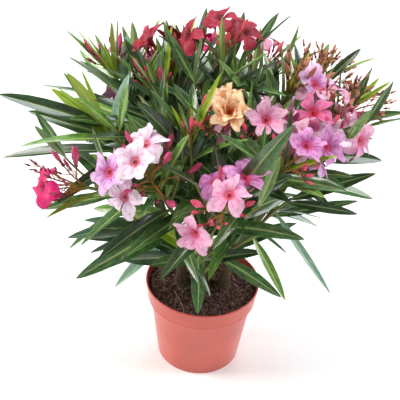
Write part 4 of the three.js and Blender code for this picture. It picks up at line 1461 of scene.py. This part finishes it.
# Upper face, its darker tone (partly the leaf's own, partly painted shade), underside and midrib.
LEAF_COLOURS = {
    "deep": ((48, 82, 44), (12, 28, 17), (118, 146, 118), (146, 168, 104)),
    "mid": ((78, 126, 64), (24, 54, 29), (132, 160, 116), (176, 196, 116)),
    "fresh": ((118, 168, 70), (60, 106, 44), (146, 172, 106), (202, 212, 126)),
    "young": ((160, 192, 40), (116, 152, 28), (166, 182, 84), (206, 208, 104)),
    "grey": ((92, 130, 100), (56, 86, 68), (176, 198, 184), (172, 192, 156)),
    "pale": ((172, 206, 178), (122, 164, 142), (200, 216, 210), (208, 224, 200)),
}
# The age, from 0 to 1 down a shoot, up to which leaves may have a young tint, and the share that do.
YOUNG = {"age": 0.12, "share": 0.6}
FRESH = {"age": 0.3, "share": 0.25}
TINT_MIX = {
    "deep": [("deep", 0.7), ("mid", 0.93), ("grey", 1.0)],
    "mid": [("mid", 0.55), ("deep", 0.8), ("fresh", 1.0)],
    "fresh": [("fresh", 0.5), ("mid", 0.85), ("deep", 1.0)],
    "grey": [("grey", 0.55), ("deep", 0.9), ("mid", 1.0)],
}


def leaf_roots(curve, t, bearing):
    """Where leaves leave a shoot or twig, and its axis there with the two directions square to it."""
    axis = curve_tangent(curve, t)
    first, second = around_shoot(axis, bearing)
    return {"root": curve_point(curve, t), "axis": axis, "first": first, "second": second}


def whorls_of(whorls):
    """The number of each leaf's whorl, from 0, and its turn round the axis."""
    order = np.arange(whorls * WHORL["leaves"])
    whorl = order // WHORL["leaves"]
    return whorl, WHORL["turn"] * whorl + 360 / WHORL["leaves"] * (order % WHORL["leaves"])


def shoot_leaves(shoot, index):
    """The leaves of a shoot: whorls of three from its tip down. With age from 0 to 1 down the shoot, a leaf
    stands out by young + (old - young) age^0.8, grows longer, and droops more."""
    foot = LEAF["after_stem"] if shoot["low"] else BOUGH["share"] + LEAF["after_bough"]
    bare = shoot.get("bare", LEAF["bare_under_flowers"] if shoot.get("flowers") else LEAF["bare_tip"])
    top = 1 - bare * (1 - foot)
    whorls = int(np.floor((top - foot) * curve_length(shoot["curve"]) / WHORL["spacing"] + 0.5)) + 1
    whorl, turn = whorls_of(whorls)
    age = whorl / (whorls - 1)
    used = 3 * (shoot.get("flowers", 0) + shoot.get("buds", 0))
    chance = draws(index + 1, used + 5 * len(age))[used:].reshape(-1, 5)
    vary, jitter = chance - 0.5, LEAF["jitter"]
    spread = part_way(age ** LEAF["spread_power"], LEAF["young_spread"], shoot["spread"])
    length = shoot["leaf"] * part_way(np.minimum(1, age / LEAF["full_length_age"]), LEAF["young_length"], 1)
    return leaf_roots(shoot["curve"], top + (foot - top) * age, shoot["bearing"]) | {
        "turn": shoot["turn"] + turn + jitter["turn"] * vary[:, 0],
        "spread": spread + jitter["spread"] * vary[:, 1],
        "length": length * (1 + jitter["length"] * vary[:, 2]),
        "droop": part_way(age, *LEAF["droop"]) + jitter["droop"] * chance[:, 3],
        "twist": jitter["twist"] * vary[:, 4],
        "age": age,
    }


def heart_leaves(shoot, index):
    """The youngest leaves, still upright round a shoot's growing tip: an inner whorl, and an outer one of
    longer leaves that start a little lower."""
    whorl, turn = whorls_of(HEART_LEAVES["whorls"])
    count, outer = len(whorl), whorl == 0
    chance = draws(HEART_LEAVES["seed"] + index, 4 * count).reshape(-1, 4)
    made = leaf_roots(shoot["curve"], np.ones(count), shoot["bearing"])
    made["root"] = made["root"] - made["axis"] * part_way(outer, *HEART_LEAVES["sunk"])[:, None]
    length = shoot["leaf"] * part_way(outer, *HEART_LEAVES["share"])
    return made | {
        "turn": shoot["turn"] + turn + part_way(chance[:, 0], *HEART_LEAVES["turn"]),
        "spread": part_way(chance[:, 1], *HEART_LEAVES["spread"]),
        "length": length * part_way(chance[:, 2], *HEART_LEAVES["size"]),
        "droop": HEART_LEAVES["droop"] * chance[:, 3],
        "twist": HEART_LEAVES["twist"] * (chance[:, 0] - 0.5),
        "age": np.zeros(count),
    }


def twig_leaves(shoot, index):
    """The leaves of the side twigs, smaller than their shoot's, in closer whorls."""
    made = []
    whorl, turn = whorls_of(TWIG_LEAVES["whorls"])
    down = whorl / (TWIG_LEAVES["whorls"] - 1)
    keys = "place", "length", "droop", "age"
    place, length, droop, age = (part_way(down, *TWIG_LEAVES[key]) for key in keys)
    spread = part_way(down ** LEAF["spread_power"], *TWIG_LEAVES["spread"])
    jitter, seed = TWIG_LEAVES["jitter"], TWIG_LEAVES["seed"] + TWIG_LEAVES["shoot_step"] * index
    for k, twig in enumerate(shoot["twigs"]):
        chance = draws(seed + k, 5 * len(down)).reshape(-1, 5)
        vary = chance - 0.5
        own = {
            "turn": turn + 360 * chance[0, 0] + jitter["turn"] * vary[:, 0],
            "spread": spread + jitter["spread"] * vary[:, 1],
            "length": length * (1 + jitter["length"] * vary[:, 2]),
            "droop": droop + jitter["droop"] * chance[:, 3],
            "twist": jitter["twist"] * vary[:, 4],
            "age": age,
        }
        made.append(leaf_roots(twig, place, shoot["bearing"]) | own)
    return joined(made)


def standout_leaves(shoot, chosen):
    """Large leaves that stand out of the crown: each points to its bearing, `rise` degrees above the
    level, so it stands off its shoot's axis by the angle between the two."""
    at, bearing, rise, length, width = np.array([leaf[:5] for leaf in chosen], float).reshape(-1, 5).T
    along = turned(polar(bearing, 1.0), np.array([0, 0, 1.0]), rise)
    made = leaf_roots(shoot["curve"], at, 0)
    axis, none = made["axis"], np.zeros(len(at))
    first = square_to(along, axis)
    spread = np.degrees(np.arccos((along * axis).sum(1)))
    made |= {"first": first, "second": np.cross(axis, first), "turn": none, "spread": spread}
    made |= {"length": length, "own_width": width, "twist": none}
    made |= {"droop": none + LEAF["standout_droop"], "age": none + LEAF["standout_age"]}
    return made | {"light": np.tile(LEAF["frontward"], (len(at), 1)) * 2}


def leaf_directions(leaves, turn):
    """Out from the shoot, along the leaf, out of its upper face and across it. The upper face looks to the
    shoot's tip and, partly, to the leaf's light."""
    radial = turned(leaves["first"], leaves["second"], turn)
    along = turned(leaves["axis"], radial, leaves["spread"])
    inner = turned(-radial, leaves["axis"], leaves["spread"])
    face = square_to(inner + leaves["light"], along)
    face = turned(face, np.cross(along, face), leaves["twist"])
    return radial, along, face, np.cross(along, face)


def leaf_line(leaves, turn, length, s):
    """A leaf's line: foot + along L s - up droop L s^2 + across sway L s^2, and its slope."""
    radial, along, _, across = leaf_directions(leaves, turn)
    foot = leaves["root"] + radial * LEAF["root_offset"]
    along, long, s = along[:, None], length[:, None, None], np.asarray(s)[None, :, None]
    bend = across[:, None] * leaves["sway"][:, None, None] - leaves["droop"][:, None, None] * [0, 0, 1]
    return foot[:, None] + along * long * s + bend * long * s**2, along * long + 2 * bend * long * s


along_stem, along_shoot, along_twig = np.linspace(0, 1, 24), np.linspace(0, 1, 50), np.linspace(0.1, 1, 14)
obstacles = [
    (np.stack([*stem_curves.values()]), along_stem, stem_radius(along_stem) + CLEARANCE["stem"]),
    (np.stack([shoot["curve"] for shoot in shoots.values()]), along_shoot, CLEARANCE["shoot"]),
    (all_twigs, along_twig, CLEARANCE["twig"]),
]
obstacle_points, obstacle_reach = [bloom_centres], [np.full(len(bloom_centres), CLEARANCE["bloom"])]
for curves, along, reach in obstacles:
    obstacle_points.append(curve_point(curves, along).reshape(-1, 3))
    obstacle_reach.append(np.tile(reach + 0 * along, len(curves)))
obstacle_points, obstacle_reach = np.concatenate(obstacle_points), np.concatenate(obstacle_reach)


def is_clear(leaves, turn, length, low, high):
    """Whether the outer three quarters of each leaf stay off limbs, blooms, pot and soil, hang no lower
    over the pot's front than a slope, stay in reach, and do not point straight out to the front."""
    line, _ = leaf_line(leaves, turn, length, CLEAR_AT)
    side_on = (unit(line[:, -1] - line[:, 0]) * LEAF["frontward"]).sum(1) < LEAF["most_frontward"]
    points = line.reshape(-1, 3)
    square = (points**2).sum(1)[:, None] + (obstacle_points**2).sum(1) - 2 * points @ obstacle_points.T
    free = (square > obstacle_reach**2).all(1)
    out, up = np.hypot(points[:, 0], points[:, 1]), points[:, 2]
    free &= (out >= rim_radius + CLEARANCE["pot"]) | (up >= CLEARANCE["pot"])
    above_rim = up - (pot_height - soil_top)
    free &= (out < rim_radius - 2 * CLEARANCE["pot"]) | (above_rim > CLEARANCE["pot"])
    free &= above_rim > CLEARANCE["hang"] * (-points[:, 1] - rim_radius)
    low, high = (np.repeat(corner, len(CLEAR_AT), 0) for corner in (low, high))
    free &= ((points > low) & (points < high)).all(1)
    return free.reshape(-1, len(CLEAR_AT)).all(1) & side_on


def leaf_skin(leaves):
    """Blades over (s, a): half width W/2 s^p (1-s)^q over its peak, edges folded up by `fold`, halves
    crowned, margins waved, and the whole turned about its line by curl s. Six corners go round."""
    s = np.array(LEAF["rows"])
    line, slope = leaf_line(leaves, leaves["turn"], leaves["length"], s)
    tip, _ = leaf_line(leaves, leaves["turn"], leaves["length"], [1.0])
    _, _, face, _ = leaf_directions(leaves, leaves["turn"])
    tangent = unit(slope)
    face = square_to(face[:, None] + 0 * tangent, tangent)
    across = np.cross(tangent, face)
    roll = leaves["curl"][:, None] * s
    face, across = turned(face, across, roll), turned(across, -face, roll)
    p, q = LEAF["foot_power"], LEAF["tip_power"]
    peak = (p / (p + q)) ** p * (q / (p + q)) ** q
    width = leaves["width"][:, None]
    half = width / 2 * s**p * (1 - s) ** q / peak
    half = np.where(s < LEAF["stalk_share"], np.maximum(half, LEAF["stalk"]), half)[..., None]
    fold = np.radians(leaves["fold"])[:, None, None]
    wave = LEAF["wave"] * width * np.sin(LEAF["waves"] * s + leaves["phase"][:, None])
    wave = (wave * np.clip(4 * s * (1 - s), 0, 1))[..., None]
    thick = part_way(np.minimum(1, LEAF["thinning"] * s), *LEAF["thick"])[:, None]
    crown, inner = LEAF["crown"] * half * face, LEAF["inner"]

    def edge(side):
        """The margin at one side: half (across cos f + face sin f), waved up and down."""
        return half * (across * side * np.cos(fold) + face * np.sin(fold)) + face * wave * side

    ring = [line, line + inner * edge(1) + crown, line + edge(1)]
    ring += [line - face * thick, line + edge(-1), line + inner * edge(-1) + crown]
    return skin(np.stack(ring, 2), tip=tip[:, 0], columns=both_sides(3, 3), rows=np.array([0, *s, 1]))


def leaf_finish(name, upper, tone_and_painted_shade, under, rib):
    """Leathery leaves: a pale midrib that narrows to the tip, fine veins slanting from it, cloudy green
    between whose darker patches are partly the leaf's own tone and partly painted shade, a thin pale
    margin, and a dull, greyer underside."""
    made = Finish(f"leaf_{name}")
    u, v, here = made.pattern()
    below = made.between(u, 0.499, 0.501)
    middle = made.plus(0.25, made.times(below, 0.5))
    off = made.times(made.math("ABSOLUTE", made.minus(u, middle)), 4.0)
    rib_width = made.between(v, 0.0, 1.0, 0.12, 0.045)
    midrib = made.math("LESS_THAN", off, rib_width)
    glow = made.between(made.math("DIVIDE", off, rib_width), 1.0, 2.4, 0.3, 0.0)
    slant = made.minus(made.times(v, 330.0), made.times(off, 16.0))
    veins = made.between(made.math("SINE", slant), 0.2, 1.0)
    clouds = made.grain(here, (6, 9, 1), 4.0, 0.6)
    # Cloudy patches of the darker colour: partly the leaf's own tone, partly painted shade.
    base = made.blend(made.between(clouds, 0.36, 0.64), tone_and_painted_shade, upper)
    base = made.blend(made.between(made.grain(here, (18, 2.5, 1)), 0.46, 0.7, 0.0, 0.5), base, upper)
    base = made.blend(made.times(veins, 0.13), base, rib)
    base = made.blend(made.between(v, 0.0, 0.16, 0.55, 0.0), base, rib)
    base = made.blend(made.between(off, 0.93, 0.99, 0.0, 0.45), base, rib)
    back = made.blend(made.between(clouds, 0.36, 0.64), under, upper)
    back = made.blend(0.75, back, under)
    back = made.blend(made.times(veins, 0.25), back, upper)
    base = made.blend(below, base, back)
    base = made.blend(made.math("MAXIMUM", made.times(midrib, 0.9), glow), base, rib)
    lines = made.plus(made.times(veins, 0.35), made.times(clouds, 0.5))
    made.bump(made.minus(lines, made.times(midrib, 0.9)), 0.0003, 0.55)
    rough = made.plus(made.by_noise(clouds, 0.26, 0.38), made.times(below, 0.26))
    sheen = {"specular_ior_level": 0.15, "coat_weight": 0.75, "coat_roughness": 0.18, "coat_ior": 1.65}
    return made.coat(base_color=base, roughness=rough, **sheen)


hand_out(FOLIAGE, "leaf", "keep", "spread", "tint")

# All the leaves, with the number of the shoot that bears each.
groups, owner = [], []
for index, (name, shoot) in enumerate(shoots.items()):
    kinds = [shoot_leaves(shoot, index), twig_leaves(shoot, index)]
    if not shoot.get("flowers"):
        kinds.append(heart_leaves(shoot, index))
    grown = joined(kinds)
    grown["own_width"] = np.zeros(len(grown["age"]))
    grown["light"] = np.tile(LEAF["lightward"], (len(grown["age"]), 1))
    groups.append(joined([grown, standout_leaves(shoot, STANDOUT.get(name, []))]))
    owner += [index] * len(groups[-1]["age"])
leaves, owner = joined(groups), np.array(owner)
total = len(owner)
traits = draws(LEAF["seed"], 8 * total).reshape(-1, 8)
standing_out = leaves["own_width"] > 0
leaves["sway"] = LEAF["sway"] * (traits[:, 0] - 0.5)
leaves["curl"] = LEAF["curl"] * (traits[:, 1] - 0.5) * 2
leaves["fold"] = part_way(np.maximum(traits[:, 2], 1 - 3 * leaves["age"]), *LEAF["fold"])
leaves["phase"] = 6.28 * traits[:, 3]

# The box that each leaf keeps inside, whether it stays on, and its tint.
keep, low, high, fallen = [], [], [], []
tint = np.empty(total, object)
for index, (name, shoot) in enumerate(shoots.items()):
    box = np.array(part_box(f"foliage_{name}")) / MM - [0, 0, soil_top]
    keep.append(shoot["keep"])
    low.append(box[0] - CLEARANCE["past_box"])
    high.append(box[1] + CLEARANCE["past_box"])
    fallen += [np.searchsorted(owner, index) + leaf for leaf in shoot.get("fallen", [])]
    tint[owner == index] = dealt(traits[owner == index, 5], TINT_MIX[shoot["tint"]])
keep, low, high = (np.array(values)[owner] for values in (keep, low, high))
wanted = standing_out | ((traits[:, 7] < keep) & ~np.isin(np.arange(total), fallen))
tint[(leaves["age"] < YOUNG["age"]) & (traits[:, 6] < YOUNG["share"])] = "young"
tint[(leaves["age"] < FRESH["age"]) & (traits[:, 6] > 1 - FRESH["share"])] = "fresh"
tint[standing_out] = [leaf[-1] for name in shoots for leaf in STANDOUT.get(name, [])]

# A leaf that is in the way is turned a little, then shortened, and left off if that doesn't clear it.
settled = standing_out.copy()
turn, length = leaves["turn"].copy(), leaves["length"].copy()
for share in LEAF["lengths_tried"]:
    for change in LEAF["turns_tried"]:
        waiting = np.flatnonzero(wanted & ~settled)
        some = {key: value[waiting] for key, value in leaves.items()}
        clear = is_clear(some, some["turn"] + change, some["length"] * share, low[waiting], high[waiting])
        turn[waiting[clear]] += change
        length[waiting[clear]] *= share
        settled[waiting[clear]] = True
width = np.minimum(length * part_way(traits[:, 4], *LEAF["width_share"]), LEAF["most_width"])
width = width * part_way(np.minimum(1, leaves["age"] / LEAF["full_width_age"]), LEAF["young_width"], 1)
leaves |= {"turn": turn, "length": length, "width": np.where(standing_out, leaves["own_width"], width)}
masses = [f"foliage_{name}" for name in shoots]
for kind, colours in LEAF_COLOURS.items():
    some = {key: value[settled & (tint == kind)] for key, value in leaves.items()}
    finish = leaf_finish(kind, *colours)
    piece(f"leaves_{kind}", [leaf_skin(some)], finish, masses, height=soil_top, sharp=30)

# ---- Studio -------------------------------------------------------------------------------------
# A plain near-white floor, soft daylight all round and three large lamps: the strongest at the left,
# one at the right and a cooler one behind that gives the leaves their sheen.

CAMERA = {"aim": (-0.010, 0.0, 0.2324), "distance": 1.4287, "elevation": 36.3, "roll": 4.0}
LENS, SENSOR = 109.35, 36
LAMPS = {
    "left": {"at": (-4.1, -0.1, 3.7), "power": 300, "colour": (1, 0.98, 0.96)},
    "right": {"at": (3.9, 0.1, 3.5), "power": 178, "colour": (0.96, 0.98, 1)},
    "back": {"at": (0.4, 3.2, 4.4), "power": 140, "colour": (0.92, 0.96, 1)},
}
LAMP_SIZE, LAMP_AIM = 3.0, (0, 0, 0.25)
FLOOR_SIZE = 60.0
DAYLIGHT = 0.3


def stand(right, up, back, place):
    """A camera's or a lamp's matrix: its own three axes and its place."""
    matrix = np.eye(4)
    matrix[:3] = np.stack([right, up, back, place], 1)
    return Matrix(matrix.tolist())


def camera_stand(aim, distance, elevation, roll):
    """Back is the way from the aim to the camera; right and up are square to it, turned by the roll."""
    e, r = np.radians(elevation), np.radians(roll)
    back = np.array([0, -np.cos(e), np.sin(e)])
    level, rise = np.array([1.0, 0, 0]), np.array([0, np.sin(e), np.cos(e)])
    right, up = level * np.cos(r) + rise * np.sin(r), rise * np.cos(r) - level * np.sin(r)
    return stand(right, up, back, np.array(aim) + back * distance)


camera_data = bpy.data.cameras.new("camera")
camera_data.lens = LENS
camera_data.sensor_width = SENSOR
camera = placed("camera", camera_data)
camera.matrix_world = camera_stand(**CAMERA)
bpy.context.scene.camera = camera

for name, lamp in LAMPS.items():
    light = bpy.data.lights.new(name, "AREA")
    light.shape = "DISK"
    light.size = LAMP_SIZE
    light.energy = lamp["power"]
    light.color = lamp["colour"]
    way = np.array(lamp["at"]) - LAMP_AIM
    right = unit(np.cross([0, 0, 1], way))
    placed(name, light).matrix_world = stand(right, unit(np.cross(way, right)), unit(way), lamp["at"])

half = FLOOR_SIZE / 2
floor_mesh = bpy.data.meshes.new("floor")
corners = [(-half, -half, 0), (half, -half, 0), (half, half, 0), (-half, half, 0)]
floor_mesh.from_pydata(corners, [], [(0, 1, 2, 3)])
floor_mesh.materials.append(Finish("studio_floor", roughness=0.9).coat(base_color=(0.95, 0.95, 0.95, 1)))
placed("floor", floor_mesh)

world = bpy.data.worlds.new("daylight")
world.use_nodes = True
world.node_tree.nodes["Background"].inputs["Color"].default_value = (1, 1, 1, 1)
world.node_tree.nodes["Background"].inputs["Strength"].default_value = DAYLIGHT
bpy.context.scene.world = world
bpy.context.scene.view_settings.view_transform = "Standard"
